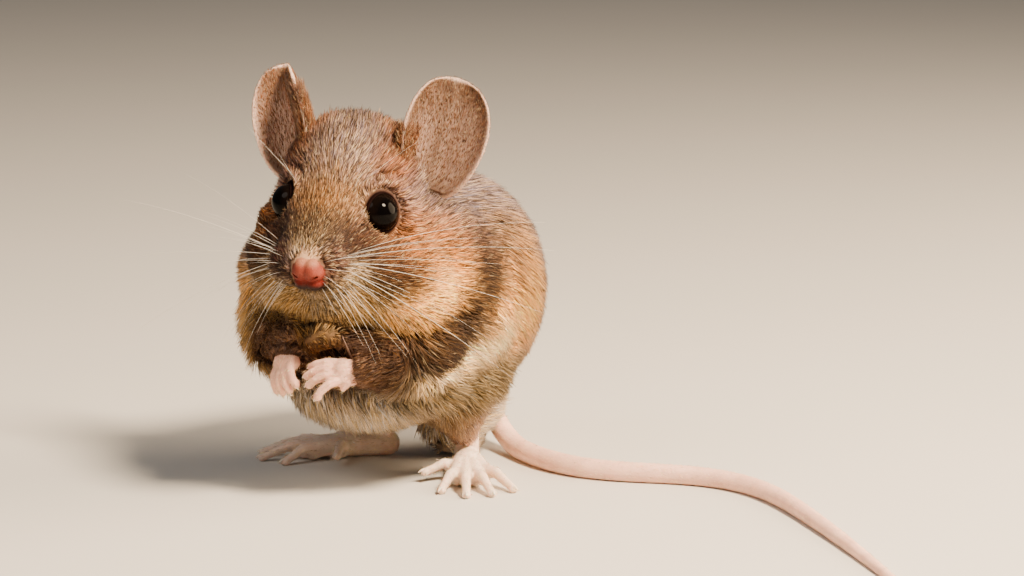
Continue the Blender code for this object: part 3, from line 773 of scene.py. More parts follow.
def markings_and_painted_light(points):
    """The coat's colour at each point, with painted shade and sunlight among its marks, and its shares of
    dark-tipped and pale-tipped hairs.

    A marking that is off the middle is on both sides, unless its frame is ONE_SIDE."""
    drift = np.stack([wander(points, DRIFT_SIZE, seed) for seed in (31, 32, 33)], axis=1)
    points = points + DRIFT * (1 - 0.7 * head_share(points))[:, None] * drift
    total = np.full(len(points), 1e-6)
    tint = np.tile(colour("back"), (len(points), 1)) * total[:, None]
    dark, pale = np.zeros((2, len(points)))
    for name, place, centre, reach, strength, dark_share, pale_share in MARKS_AND_PAINTED_LIGHT:
        local = moved(points, place.inverted()) if place else points
        across = np.abs(local[:, 0]) if centre[0] > 2.0 and place is not ONE_SIDE else local[:, 0]
        apart = (np.stack([across, local[:, 1], local[:, 2]], axis=1) - np.array(centre)) / np.array(reach)
        weight = strength * np.exp(-(apart ** 2).sum(axis=1))
        total += weight
        tint += weight[:, None] * colour(name)
        dark += weight * dark_share
        pale += weight * pale_share
    tint, dark, pale = tint / total[:, None], dark / total, pale / total
    # Painted shade: the right flank is mixed towards brown, out of the sunlight painted into the flank's
    # colour
    on_right = step(-points[:, 0], 5.0, 12.0) * step(points[:, 1], -26.0, -16.0) * (1 - head_share(points))
    tint = mix(tint, mix(colour("back"), colour("low_flank_in_shade"), 0.5), RIGHT_FLANK_SHADE * on_right[:, None])
    # The legs take the limb colour, painted darker as shade, turning to the paws' pink towards the feet
    foreleg = np.zeros(len(points))
    for i, (share, along, _) in enumerate(limb_shares(points)):
        hind = i % 2
        toward = 0.8 * along[:, None] ** 4 if hind else 0.2 * along[:, None]
        fur = mix(colour("limb"), colour("low_flank_in_shade"), 0.5 * hind)
        tint = mix(tint, mix(fur, colour("paw"), toward), (share * 0.8)[:, None])
        foreleg = np.maximum(foreleg, share)
    return tint, dark * (1 - 0.6 * foreleg), pale


# ---------------------------------------------------------------- skin

# The grain that the surfaces are melted at, which is finer where the forms are small
SKIN_VOXEL, NOSE_VOXEL, EAR_VOXEL, PAW_VOXEL, FOOT_VOXEL = 0.5, 0.14, 0.2, 0.13, 0.18
SKIN_TRIANGLES = 190000         # the most triangles that the finished skin has
ROD_REACH = 0.36                # how far a whisker rod of the solids reaches from its middle line
SLIT_CLOSER = 0.2               # how far the solids swell to close the slits between them
LID_OPENING, LID_TUBE, LID_HEIGHT = 2.74, 0.20, 0.90
CORNER_REACH, CORNER_DROP = 0.30, 0.70          # how far the inner corner of the lids is drawn out and down
LID_ARCH, LID_SQUASH = 0.25, 0.93               # rise of the rim over and under the eye, and share of height
ORBIT_DEPTH = 6.0               # height of the funnel that clears the skin from before each eye
MOUND_RADII = (3.1, 3.05, 2.8)  # of the swelling under the lids of each eye
TAIL_HEAD, TAIL_HEAD_RADII = (0.2, 8.6, 4.9), (2.3, 2.3, 2.5)       # the furred swelling at the tail's root
PARTS = ["coat", "nose", "ear", "paw", "tail", "lid"]


def without_rods(hull):
    """Takes the whisker rods off a copy of the solids and closes the holes they leave."""
    points = coordinates(hull.data)
    rod = np.zeros(len(points), bool)
    for side in SIDES.values():
        for rise, length in WHISKERS:
            line = whisker_line(side, rise, length, 5)
            for start, end in zip(line, line[1:]):
                rod |= from_line(points, start, end)[0] < ROD_REACH
    made = bmesh.new()
    made.from_mesh(hull.data)
    made.verts.ensure_lookup_table()
    bmesh.ops.delete(made, geom=[v for v in made.verts if rod[v.index]], context="VERTS")
    bmesh.ops.holes_fill(made, edges=[e for e in made.edges if e.is_boundary], sides=0)
    made.to_mesh(hull.data)
    made.free()


def coat_hull():
    """The coat's outline, in millimetres: copies of the furred solids and the nose, melted together."""
    copies = []
    for name in FURRED + ["nose"]:
        copy = bpy.data.objects.new("copy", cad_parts[name].data.copy())
        bpy.context.scene.collection.objects.link(copy)
        copies.append(copy)
    hull = joined("hull", copies)
    hull.data.transform(Matrix.Scale(1 / MM, 4))
    edited(hull, bpy.ops.mesh.remove_doubles, threshold=0.001)
    without_rods(hull)
    apply(hull, "DISPLACE", strength=SLIT_CLOSER, mid_level=0.0)
    apply(hull, "REMESH", mode="VOXEL", voxel_size=SKIN_VOXEL)
    apply(hull, "SMOOTH", factor=0.5, iterations=6)
    return hull


def furred_skin(hull):
    """The skin under the coat: the outline drawn in by the coat's depth, with a swelling round each eye."""
    skin = bpy.data.objects.new("core", hull.data.copy())
    bpy.context.scene.collection.objects.link(skin)
    steps = 4
    for _ in range(steps):
        points = coordinates(skin.data)
        drawn_in = vertex_normals(skin.data) * (coat_depth(points) / steps)[:, None]
        set_coordinates(skin.data, points - drawn_in)
        apply(skin, "SMOOTH", factor=0.5, iterations=1)
    mounds = [ball((0, 0, -0.1), MOUND_RADII, eye_frame(side)) for side in SIDES.values()]
    skin = melted("core", [skin, mounds, ball(TAIL_HEAD, TAIL_HEAD_RADII)], SKIN_VOXEL, 3)
    for side in SIDES.values():
        middle = Matrix.Translation((0, 0, LID_HEIGHT + ORBIT_DEPTH / 2))
        opening = added(bpy.ops.mesh.primitive_cone_add, eye_frame(side) @ middle, vertices=48,
                        radius1=LID_OPENING + 0.7, radius2=LID_OPENING + 8.0, depth=ORBIT_DEPTH)
        boolean(skin, opening, "DIFFERENCE")
    return skin


def lid_ring(side):
    """The rim of the eyelids: an oval roll round the eye with a drawn-out inner corner."""
    ring = added(bpy.ops.mesh.primitive_torus_add, Matrix.Identity(4), major_radius=LID_OPENING,
                 minor_radius=LID_TUBE, major_segments=56, minor_segments=14)
    points = coordinates(ring.data)
    angle = np.arctan2(points[:, 1], points[:, 0])
    corner = np.exp(-(angle / 0.30) ** 2)
    points[:, :2] *= (1 + CORNER_REACH * corner)[:, None]
    top = step(points[:, 2], -LID_TUBE, LID_TUBE)
    points[:, 2] += LID_HEIGHT - CORNER_DROP * corner + LID_ARCH * top * (points[:, 1] / LID_OPENING) ** 2
    points[:, 1] *= LID_SQUASH
    set_coordinates(ring.data, points)
    return settle(ring, eye_frame(side))


def nose_pad():
    """The nose: two lobes with a groove between them, a comma-shaped nostril in each, and the lip below."""
    place = HEAD @ Matrix.Translation(NOSE)
    shapes = [limb([(-0.3, -3.4, 0.2), (0, -0.7, 0.1)], [2.2, 1.7], place)]
    for side in SIDES.values():
        shapes += [
            ball((side * 0.66, 0.25, 0.40), (1.15, 1.40, 1.50), place),
            ball((side * 1.18, -0.45, -0.10), (0.98, 1.50, 1.15), place),
            ball((side * 0.80, -1.2, -1.60), (1.25, 1.85, 1.10), place),
        ]
    pad = melted("nose_pad", shapes, NOSE_VOXEL, 6)
    groove = [(0, 1.95, -0.3), (0, 1.5, -0.9), (0, 0.6, -2.1), (0, -0.6, -2.9)]
    cuts = [limb(groove, [0.08, 0.16, 0.2, 0.2], place, 10)]
    for side in SIDES.values():
        cuts.append(limb([(side * 0.80, 1.80, -0.55), (side * 1.30, 1.05, -0.40),
                          (side * 1.95, 0.1, -0.05)], [0.30, 0.27, 0.12], place, 12))
    boolean(pad, melted("nostrils", cuts, 0.08, 0), "DIFFERENCE")
    apply(pad, "SMOOTH", factor=0.35, iterations=2)
    return pad


def mouth_crease():
    """The line of the closed mouth, under the lips and back to both corners."""
    points = [(-3.6, 7.4, -9.2), (-2.2, 10.2, -8.9), (0.5, 11.9, -8.7), (2.9, 10.2, -8.9), (4.0, 7.4, -9.2)]
    return melted("crease", limb(points, [0.2, 0.35, 0.4, 0.35, 0.2], HEAD, 12), 0.12, 0)


# Painted light: the right ear's skin and hairs are painted lighter, as light shining through the ear
EAR_PAINTED_LIGHT = {"left": 1.05, "right": 1.9}         # how bright the skin of each ear is
# The groove's depth also sets how much darker it is painted, as the shade in its fold
EAR_GROOVES = {"left": 0.5, "right": 0.9}        # how deep the groove along each ear is
EAR_THICKNESS, EAR_REACH = 0.95, 9.0             # at the root, and the most that it reaches from its middle


def ear_shell(name):
    """A thin cup of skin with a rolled rim, two soft folds inside and a thicker root."""
    rows, columns = 34, 26
    s = np.sin(np.linspace(0, math.pi / 2, rows + 1))
    t = np.linspace(-1, 1, columns + 1)
    points = np.array([[ear_surface(a, b) for b in t] for a in s])
    inner = np.exp(-((t[None, :] + 0.35) / 0.16) ** 2 - ((s[:, None] - 0.25) / 0.3) ** 2)
    outer = np.exp(-((t[None, :] - 0.45) / 0.2) ** 2 - ((s[:, None] - 0.35) / 0.35) ** 2)
    side = SIDES[name]
    fold = np.exp(-((t[None, :] + 0.05 * side) / 0.13) ** 2)
    fold = fold * step(s[:, None], 0.05, 0.3) * (1 - step(s[:, None], 0.7, 1.0))
    points[:, :, 1] += 0.45 * inner + 0.3 * outer + EAR_GROOVES[name] * fold
    share = points[:, :, 2] / EAR_LENGTH
    points[:, :, 0] *= ear_taper(name, share)
    points[:, :, 0] += side * EAR_LEANS[name] * share ** 2
    index = np.arange((rows + 1) * (columns + 1)).reshape(rows + 1, columns + 1)
    faces = np.stack([index[:-1, :-1], index[:-1, 1:], index[1:, 1:], index[1:, :-1]], axis=-1)
    shell = mesh_of("ear", points.reshape(-1, 3), faces.reshape(-1, 4))
    group = shell.vertex_groups.new(name="thickness")
    edge = np.maximum(step(np.abs(t)[None, :], 0.86, 0.97), step(s[:, None], 0.94, 0.99))
    thick = np.clip(0.35 + 0.65 * (1 - step(s[:, None], 0.0, 0.35)) + 0.1 * edge, 0, 1)
    for i, value in enumerate(thick.ravel()):
        group.add([i], float(value), "REPLACE")
    apply(shell, "SOLIDIFY", thickness=EAR_THICKNESS, offset=0.0, vertex_group="thickness")
    apply(shell, "REMESH", mode="VOXEL", voxel_size=EAR_VOXEL)
    apply(shell, "SMOOTH", factor=0.5, iterations=3)
    return settle(shell, ear_frame(name))


FINGERS = {  # across, spread in degrees and length of each finger of a hand
    "left": [(-1.30, -30.0, 3.7), (-0.45, -8.0, 4.3), (0.42, 0.0, 4.5), (1.22, 8.0, 3.9)],
    "right": [(-1.25, -12.0, 3.2), (-0.42, -4.0, 3.7), (0.42, 4.0, 3.7), (1.25, 12.0, 3.2)],
}
CUFFS = {"left": -0.2, "right": 1.2}     # how far past the wrist the fur of the foreleg reaches
CUFF_WIDTH = 4.5                         # and the most that the cuff is away from the wrist
CLAW_LENGTH, HIND_CLAW_LENGTH = 0.75, 1.0


def finger_points(side, across, spread, length):
    """Root, knuckle, joint and tip of a curled finger in the hand's frame."""
    a = math.radians(spread * side)
    ahead = Vector((math.sin(a), math.cos(a), 0))
    base = Vector((across * side, 2.0, 0.1))
    curl = [(0.42, 0.40), (0.78, 0.05), (1.0, -0.55)]
    return [base] + [base + ahead * length * share + Vector((0, 0, rise)) for share, rise in curl]


def forepaw(name, side):
    """A hand: its palm, four curled fingers with their pads, a short thumb and two pads at the wrist."""
    place = hand_frame(side)
    shapes = [limb([(0, -1.0, -0.3), (0, 1.2, 0)], [1.45, 1.65], place, 16),
              ball((0, 1.6, 0.0), (2.2, 1.9, 1.3) if side < 0 else (2.1, 1.7, 1.25), place)]
    for finger in FINGERS[name]:
        points = finger_points(side, *finger)
        shapes.append(limb(points, [0.76, 0.62, 0.56, 0.50], place, 12))
        shapes.append(ball(points[-1] + Vector((0, -0.1, -0.12)), (0.60, 0.66, 0.50), place, 14))
        shapes.append(ball(points[0] + Vector((0, -0.2, -0.75)), (0.72, 0.8, 0.55), place, 14))
    shapes.append(limb([(-1.6 * side, 0.9, -0.3), (-2.2 * side, 1.7, -0.8)], [0.6, 0.42], place, 12))
    for across in (-1.0, 1.0):
        shapes.append(ball((across, 0.4, -0.95), (0.8, 0.95, 0.6), place, 14))
    return melted("paw", shapes, PAW_VOXEL, 3)


TOES = [  # where each toe starts and ends, across and ahead of the heel, and the height of its end
    (-1.5, 8.0, -6.0, 9.6, 1.5), (-1.8, 12.0, -4.0, 16.6, 0.55), (-0.6, 13.0, -0.7, 19.4, 0.55),
    (0.8, 12.6, 2.8, 18.8, 0.55), (2.0, 10.2, 5.8, 16.4, 0.55),
]


def toe_points(side, across, ahead, tip_across, tip_ahead, tip_height):
    """Start, root, knuckle, joint and tip of a toe in the foot's frame."""
    base = Vector((side * across, ahead, 1.7))
    tip = Vector((side * tip_across, tip_ahead, tip_height))
    return [Vector((side * across * 0.3, 6.5, 2.0)), base, base.lerp(tip, 0.42) + Vector((0, 0, 0.78)),
            base.lerp(tip, 0.75) + Vector((0, 0, 0.3)), tip]


def hind_foot(side):
    """A hind foot: its ankle, the long sole and five toes with their pads, flat on the floor."""
    place = foot_frame(side)
    shapes = [limb([(0, 1.6, 1.75), (0, 2.6, 4.4), (0, 1.9, 7.0)], [1.8, 1.75, 1.75], place),
              limb([(0, 1.4, 1.75), (0, 7.5, 2.0)], [1.8, 1.95], place)]
    for toe in TOES:
        points = toe_points(side, *toe)
        shapes.append(limb(points, [1.7, 1.15, 0.74, 0.6, 0.56], place, 12))
        shapes.append(ball(points[-1] + Vector((0, 0, -0.1)), (0.66, 0.72, 0.5), place, 14))
        shapes.append(ball(points[1] + Vector((0, 0.3, -0.95)), (0.85, 1.0, 0.62), place, 14))
    foot = melted("foot", shapes, FOOT_VOXEL, 3)
    flattened(foot)
    return foot


def flattened(obj):
    """Presses what lies below the floor up to it."""
    points = coordinates(obj.data)
    points[:, 2] = np.maximum(points[:, 2], FLOOR_CLEARANCE)
    set_coordinates(obj.data, points)


SCALE_SPACING, SCALE_GROOVE = 0.62, 0.055       # from ring to ring, and the groove's share of the radius


def scaly_tail():
    """The tail, with a groove between each ring of scales and the next."""
    around = 14
    shares, middles, headings = tail_line(int(TAIL_LENGTH / SCALE_SPACING * 2) + 1)
    inside = middles[:1] - np.array([(math.cos(headings[0]), math.sin(headings[0]), -0.25)])
    middles = np.concatenate([inside, middles])
    headings = np.concatenate([headings[:1], headings])
    count = len(middles)
    radii = np.array([tail_radius(s) for s in np.concatenate([[0], shares])])
    radii[0] *= 0.8
    radii = radii * (1 - SCALE_GROOVE * (np.arange(count) % 2))
    radii[-3:] *= (0.92, 0.75, 0.4)
    aside = np.stack([-np.sin(headings), np.cos(headings), np.zeros(count)], axis=1)
    rings = rings_round(middles, radii, aside, np.tile((0, 0, 1.0), (count, 1)), around)
    end_point = middles[-1:] + unit(middles[-1:] - middles[-2:-1]) * 0.2
    points = np.concatenate([rings.reshape(-1, 3), middles[:1], end_point])
    index = np.arange(count * around).reshape(count, around)
    after = np.roll(index, -1, axis=1)
    walls = np.stack([index[:-1], index[1:], after[1:], after[:-1]], axis=-1).reshape(-1, 4)
    quads = np.concatenate([walls[:, [0, 1, 2]], walls[:, [0, 2, 3]]])
    start = np.stack([np.full(around, count * around), index[0], after[0]], axis=-1)
    end = np.stack([np.full(around, count * around + 1), after[-1], index[-1]], axis=-1)
    tail = mesh_of("tail", points, np.concatenate([quads, start, end]))
    edited(tail, bpy.ops.mesh.normals_make_consistent, inside=False)
    flattened(tail)
    return tail


def eye_socket(side):
    """The hollow in the skin that an eyeball sits in, with a little room round it."""
    radius = mm("eye_radius") + 0.03
    return ball((0, 0, 0), (radius,) * 3, eye_frame(side), 40)


def part_labels(points, parts):
    """For each point, the number of the part whose own points are nearest, with fur as far as the cuffs."""
    labels = np.repeat([PARTS.index(label) for label, _ in parts], [len(cloud) for _, cloud in parts])
    labels = labels[nearest(points, np.concatenate([cloud for _, cloud in parts]))]
    for name, side in SIDES.items():
        hand = moved(points, hand_frame(side).inverted())
        cuff = (np.linalg.norm(hand, axis=1) < CUFF_WIDTH) & (hand[:, 1] < CUFFS[name])
        labels[cuff & (labels == PARTS.index("paw"))] = PARTS.index("coat")
    return labels


def pad_roots(side):
    """Where the finer whiskers leave a whisker pad, in the head's frame, with their rows and columns."""
    places = []
    for row in range(WHISKER_ROWS):
        for column in range(WHISKERS_IN_ROW):
            down, back = row / (WHISKER_ROWS - 1), column / (WHISKERS_IN_ROW - 1)
            x = side * (2.75 + 1.5 * back - 0.3 * down)
            places.append((down, back, (x + 0.3, 12.6 - 4.6 * back, -3.9 - 3.6 * down)))
    return places


def follicles(points):
    """How near each point is to the dark root of a whisker."""
    head = moved(points, TO_HEAD)
    dark = np.zeros(len(points))
    for side in SIDES.values():
        for _, _, root in pad_roots(side):
            apart = np.linalg.norm((head - np.array(root))[:, 1:], axis=1) + 9 * (head[:, 0] * side < 0)
            dark = np.maximum(dark, 1 - step(apart, 0.22, 0.5))
    return dark


def skin_pigment(points, labels):
    """The colour of the bare skin of each part, and of the furred skin under the coat, painted dark as the
    shade between the tufts.
    """
    tint, _, _ = markings_and_painted_light(points)
    # Painted shade: the skin under the coat is half as bright as its coat, as the shade deep between the
    # tufts
    tint = mix(tint, colour("paw"), 0.10) * 0.5
    bare = bare_bridge(points)[:, None]
    tint = mix(tint, mix(colour("nose"), colour("muzzle"), 0.4), bare)
    tint = mix(tint, mix(colour("nose"), colour("paw"), 0.5) * 0.75, 0.9 * whisker_pads(points)[:, None])
    dark = np.maximum(0.7 * follicles(points), 0.95 * near_eyes(points, 3.05, 3.5))
    tint = mix(tint, mix(colour("mouth"), colour("eye"), 0.4), dark[:, None])
    head = moved(points, TO_HEAD) - np.array(NOSE)
    is_part = {name: labels == i for i, name in enumerate(PARTS)}
    low = step(-head[:, 2], -0.3, 1.2)[:, None]
    nose = mix(mix(colour("nose"), colour("muzzle"), 0.03), colour("lip"), low)
    # Partly the mouth and partly painted shade: the underside of the nose turns to the mouth's dark colour
    nose = mix(nose, colour("mouth"), step(-head[:, 2], 1.3, 2.1)[:, None])
    nose = mix(nose, mix(colour("nose"), colour("muzzle"), 0.2), step(head[:, 2], 0.8, 1.8)[:, None] * 0.7)
    tint = np.where(is_part["nose"][:, None], nose, tint)
    tint = np.where(is_part["lid"][:, None], mix(colour("mouth"), colour("eye"), 0.5), tint)
    for name in SIDES:
        local, share, across = on_ear(points, name)
        near = is_part["ear"] & (np.abs(local[:, :2]).max(axis=1) < EAR_REACH) & (local[:, 2] > -3)
        rim = np.maximum(step(np.abs(across), 0.88, 1.0), step(share, 0.965, 0.998))[:, None]
        blotch = 0.5 + 0.5 * wander(points, 3.0, 11)
        off_middle = step(np.hypot(share - 0.35, across * 0.45), 0.22, 0.62)
        shade = np.clip(0.75 * off_middle + 0.25 * blotch, 0, 1)
        # Painted shade: the groove along the ear is painted browner and darker, as the shade in its fold
        groove = np.exp(-((across + 0.05) / 0.12) ** 2)
        groove = groove * step(share, 0.1, 0.3) * (1 - step(share, 0.75, 0.98))
        shade = np.maximum(shade, groove * EAR_GROOVES[name])
        ear = mix(mix(colour("ear"), colour("ear_shade"), shade[:, None]), colour("ear_edge"), rim)
        # Painted light: the right ear is painted lighter, as light shining through it
        ear = ear * (EAR_PAINTED_LIGHT[name] * (1 - 0.4 * EAR_GROOVES[name] * groove))[:, None]
        tint = np.where(near[:, None], ear, tint)
    flush = (0.5 + 0.5 * wander(points, 2.2, 5))[:, None]
    pale = (0.7 * (1 - step(points[:, 2], 8.0, 14.0)))[:, None]
    sole = mix(mix(colour("paw"), colour("claw"), pale), colour("nose"), (0.22 - 0.25 * pale) * flush)
    tint = np.where(is_part["paw"][:, None], sole, tint)
    tint = np.where(is_part["tail"][:, None], mix(colour("tail"), colour("nose"), 0.15 * flush), tint)
    return tint


def whole_skin(hull):
    """The furred skin with all the bare parts joined on, and the points that each part has of its own."""
    skin = furred_skin(hull)
    boolean(skin, mouth_crease(), "DIFFERENCE")
    parts = [("coat", coordinates(skin.data))]
    additions = [("nose", nose_pad()), ("tail", scaly_tail())]
    for name, side in SIDES.items():
        additions += [("lid", lid_ring(side)), ("ear", ear_shell(name)), ("paw", forepaw(name, side)),
                      ("paw", hind_foot(side))]
    for label, piece in additions:
        parts.append((label, coordinates(piece.data)))
        boolean(skin, piece, "UNION")
    for side in SIDES.values():
        boolean(skin, eye_socket(side), "DIFFERENCE")
    apply(skin, "TRIANGULATE")
    apply(skin, "DECIMATE", ratio=min(1.0, SKIN_TRIANGLES / len(skin.data.polygons)))
    return skin, parts


class MOUSE_OT_skin(bpy.types.Operator):
    """Makes the one skin that stands for all the solids of flesh"""
    bl_idname = "mouse.skin"
    bl_label = "Skin"

    def execute(self, context):
        hull = coat_hull()
        skin, parts = whole_skin(hull)
        mesh = skin.data
        points = coordinates(mesh)
        labels = part_labels(points, parts)
        tree = surface_tree(hull.data)
        depth = np.array([tree.find_nearest(p)[3] for p in points])
        mesh.attributes.new("depth", "FLOAT", "POINT").data.foreach_set("value", depth.astype(np.float32))
        mesh.attributes.new("part", "INT", "POINT").data.foreach_set("value", labels.astype(np.int32))
        paint(mesh, "pigment", skin_pigment(points, labels))
        finish_piece(skin, "skin", skin_materials(), FURRED + BARE)
        slots = {"coat": 0, "nose": 1, "ear": 2, "paw": 3, "tail": 4, "lid": 0}
        by_label = np.array([slots[name] for name in PARTS])
        face_labels = labels[triangles(mesh)].min(axis=1)
        mesh.polygons.foreach_set("material_index", by_label[face_labels].astype(np.int32))
        mesh.update()
        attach(hull, "root")
        return {"FINISHED"}


def skin_materials():
    """Each kind of skin: its name, the size and depth of its creases, roughness, gloss and inner glow."""
    return [skin_material("Skin under fur", 0.25, 0.02, 0.8, 0.05, 0.0),
            skin_material("Nose leather", 0.16, 0.05, 0.5, 0.25, 0.05),
            skin_material("Ear skin", 0.30, 0.015, 0.55, 0.3, 0.35),
            skin_material("Paw skin", 0.28, 0.04, 0.5, 0.5, 0.3),
            skin_material("Tail skin", 0.34, 0.04, 0.5, 0.5, 0.2)]


# ---------------------------------------------------------------- eyes and claws

CORNEA_RISE, CORNEA_WIDTH = 0.035, 0.75          # its share of the eye's radius, and its angle in radians


class MOUSE_OT_eyes(bpy.types.Operator):
    """Makes the two glossy eyes, each with a cornea that stands out a little"""
    bl_idname = "mouse.eyes"
    bl_label = "Eyes"

    def execute(self, context):
        for name, side in SIDES.items():
            radius = mm("eye_radius")
            eye = ball((0, 0, 0), (radius,) * 3, None, 48)
            points = coordinates(eye.data)
            off_axis = np.arccos(np.clip(points[:, 2] / radius, -1, 1))
            points *= (1 + CORNEA_RISE * np.exp(-(off_axis / CORNEA_WIDTH) ** 2))[:, None]
            set_coordinates(eye.data, points)
            iris = step(off_axis, 0.55, 0.95)[:, None]
            brown = mix(colour("eye"), colour("shade_streak"), 0.08)
            paint(eye.data, "pigment", mix(np.tile(colour("eye"), (len(points), 1)), brown, iris))
            settle(eye, eye_frame(side))
            finish_piece(eye, f"eyeball_{name}", [eye_material()], [f"eye_{name}"])
        return {"FINISHED"}


def claw(root, ahead, length, radius, place):
    """A curved horn that tapers to a point."""
    down = Vector((0, 0, -1))
    reach = [(0.0, 0.0, 1.0), (0.35, 0.03, 0.85), (0.7, 0.16, 0.5), (1.0, 0.36, 0.1)]
    points = [root + ahead * length * (a - 0.25) + down * length * b for a, b, _ in reach]
    return limb(points, [radius * r for _, _, r in reach], place, 8)


class MOUSE_OT_claws(bpy.types.Operator):
    """Makes the claws of all four feet"""
    bl_idname = "mouse.claws"
    bl_label = "Claws"

    def execute(self, context):
        claws = []
        for name, side in SIDES.items():
            for finger in FINGERS[name]:
                points = finger_points(side, *finger)
                ahead = (points[-1] - points[-2]).normalized()
                root = points[-1] + ahead * 0.35 + Vector((0, 0, 0.2))
                claws.append(claw(root, ahead, CLAW_LENGTH, 0.24, hand_frame(side)))
            for toe in TOES:
                points = toe_points(side, *toe)
                run = points[-1] - points[-2]
                ahead = Vector((run.x, run.y, 0)).normalized()
                root = points[-1] + ahead * 0.4 + Vector((0, 0, 0.25))
                claws.append(claw(root, ahead, HIND_CLAW_LENGTH, 0.27, foot_frame(side)))
        pieces = melted("claws", claws, 0.07, 1)
        flattened(pieces)
        apply(pieces, "DECIMATE", ratio=0.4)
        finish_piece(pieces, "claws", [claw_material()])
        return {"FINISHED"}


# ---------------------------------------------------------------- coat

SEED = 7
PATCH = 0.0015                  # half the width of a tuft's patch on the unwrap
PAIRED_COAT = [  # region, slot, tufts of each side, width, spread in degrees, clump size and pull
    ("muzzle", "coat_flank", 18000, 0.065, 8.0, 0.5, 0.15),
    ("head", "coat_back", 32000, 0.085, 10.0, 0.8, 0.25),
    ("back", "coat_back", 17000, 0.10, 13.0, 1.4, 0.35),
    ("flank", "coat_flank", 24000, 0.10, 13.0, 1.4, 0.35),
]
COAT_PIECES = [(f"coat_{region}_{name}", slot, region, side, *growth)
               for region, slot, *growth in PAIRED_COAT for name, side in SIDES.items()]
COAT_PIECES += [  # name, slot, region, side (0 for both), and then as above
    ("coat_belly", "coat_chest", "belly", 0, 27000, 0.10, 14.0, 1.5, 0.35),
    ("coat_limbs", "coat_limb", "limbs", 0, 13000, 0.06, 10.0, 0.7, 0.2),
    ("ear_hair", "ear_skin", "ears", 0, 12000, 0.028, 12.0, 0.5, 0.0),
    ("ear_fringe", "coat_back", "fringe", 0, 6000, 0.035, 16.0, 0.7, 0.1),
    ("foot_hair", "paw_skin", "feet", 0, 5000, 0.025, 12.0, 0.5, 0.0),
    ("tail_hair", "tail_skin", "tail", 0, 3000, 0.02, 10.0, 0.5, 0.0),
]
# The regions of fine hair with the skin they grow on, and their shares of dark and pale tips
BARE_REGIONS = {"ears": "ear", "fringe": "ear", "feet": "paw", "tail": "tail"}
BARE_TIPS = {"ears": (0.12, 0.3), "fringe": (0.2, 0.3), "feet": (0.0, 0.5), "tail": (0.0, 0.5)}


class Surface:
    """The skin as arrays: where tufts may grow, with the unwrap that places their patches."""

    def __init__(self, skin):
        mesh = skin.data
        self.points = coordinates(mesh) / MM
        self.normals = vertex_normals(mesh)
        self.faces = triangles(mesh)
        self.depth = read(mesh.attributes["depth"].data, "value").astype(float)
        a, b, c = (self.points[self.faces[:, i]] for i in range(3))
        self.areas = np.linalg.norm(np.cross(b - a, c - a), axis=1) / 2
        self.centres = (a + b + c) / 3
        part = read(mesh.attributes["part"].data, "value", kind=np.int32)
        self.face_part = part[self.faces].max(axis=1)
        self.unwrap(skin)

    def unwrap(self, skin):
        """Unwraps a lighter copy of the skin, and keeps it for finding the place of each root."""
        bed = bpy.data.objects.new("bed", skin.data.copy())
        bpy.context.scene.collection.objects.link(bed)
        apply(bed, "DECIMATE", ratio=0.12)
        apply(bed, "TRIANGULATE")
        edited(bed, bpy.ops.uv.smart_project, angle_limit=math.radians(66), island_margin=0.004)
        self.bed_points = coordinates(bed.data) / MM
        self.bed_faces = triangles(bed.data)
        self.bed_uv = read(bed.data.uv_layers.active.data, "uv", 2).reshape(-1, 3, 2)
        self.bed_tree = BVHTree.FromPolygons(self.bed_points.tolist(), self.bed_faces.tolist())
        bpy.data.objects.remove(bed)

    def roots(self, allowed, count, rng):
        """Roots spread evenly over the allowed faces, with their normals and coat depth."""
        share = np.cumsum(np.where(allowed, self.areas, 0))
        pick = np.searchsorted(share, (np.arange(count) + rng.uniform(size=count)) / count * share[-1])
        faces = self.faces[np.minimum(pick, len(self.faces) - 1)]
        u, v = rng.uniform(size=(2, count))
        fold = u + v > 1
        u, v = np.where(fold, 1 - u, u), np.where(fold, 1 - v, v)
        weights = np.stack([1 - u - v, u, v], axis=1)
        points = (self.points[faces] * weights[:, :, None]).sum(axis=1)
        normals = unit((self.normals[faces] * weights[:, :, None]).sum(axis=1))
        depth = (self.depth[faces] * weights).sum(axis=1)
        return points, normals, depth

    def patches(self, roots):
        """The place of each root on the unwrap."""
        hits = [self.bed_tree.find_nearest(root) for root in roots]
        face = np.array([hit[2] for hit in hits])
        a, b, c = (self.bed_points[self.bed_faces[face, i]] for i in range(3))
        ab, ac, ap = b - a, c - a, np.array([hit[0] for hit in hits]) - a
        bb, bc, cc = (ab * ab).sum(axis=1), (ab * ac).sum(axis=1), (ac * ac).sum(axis=1)
        pb, pc = (ap * ab).sum(axis=1), (ap * ac).sum(axis=1)
        area = np.maximum(bb * cc - bc * bc, 1e-12)
        v, w = (cc * pb - bc * pc) / area, (bb * pc - bc * pb) / area
        weights = np.clip(np.stack([1 - v - w, v, w], axis=1), 0, 1)
        return (self.bed_uv[face] * weights[:, :, None]).sum(axis=1)


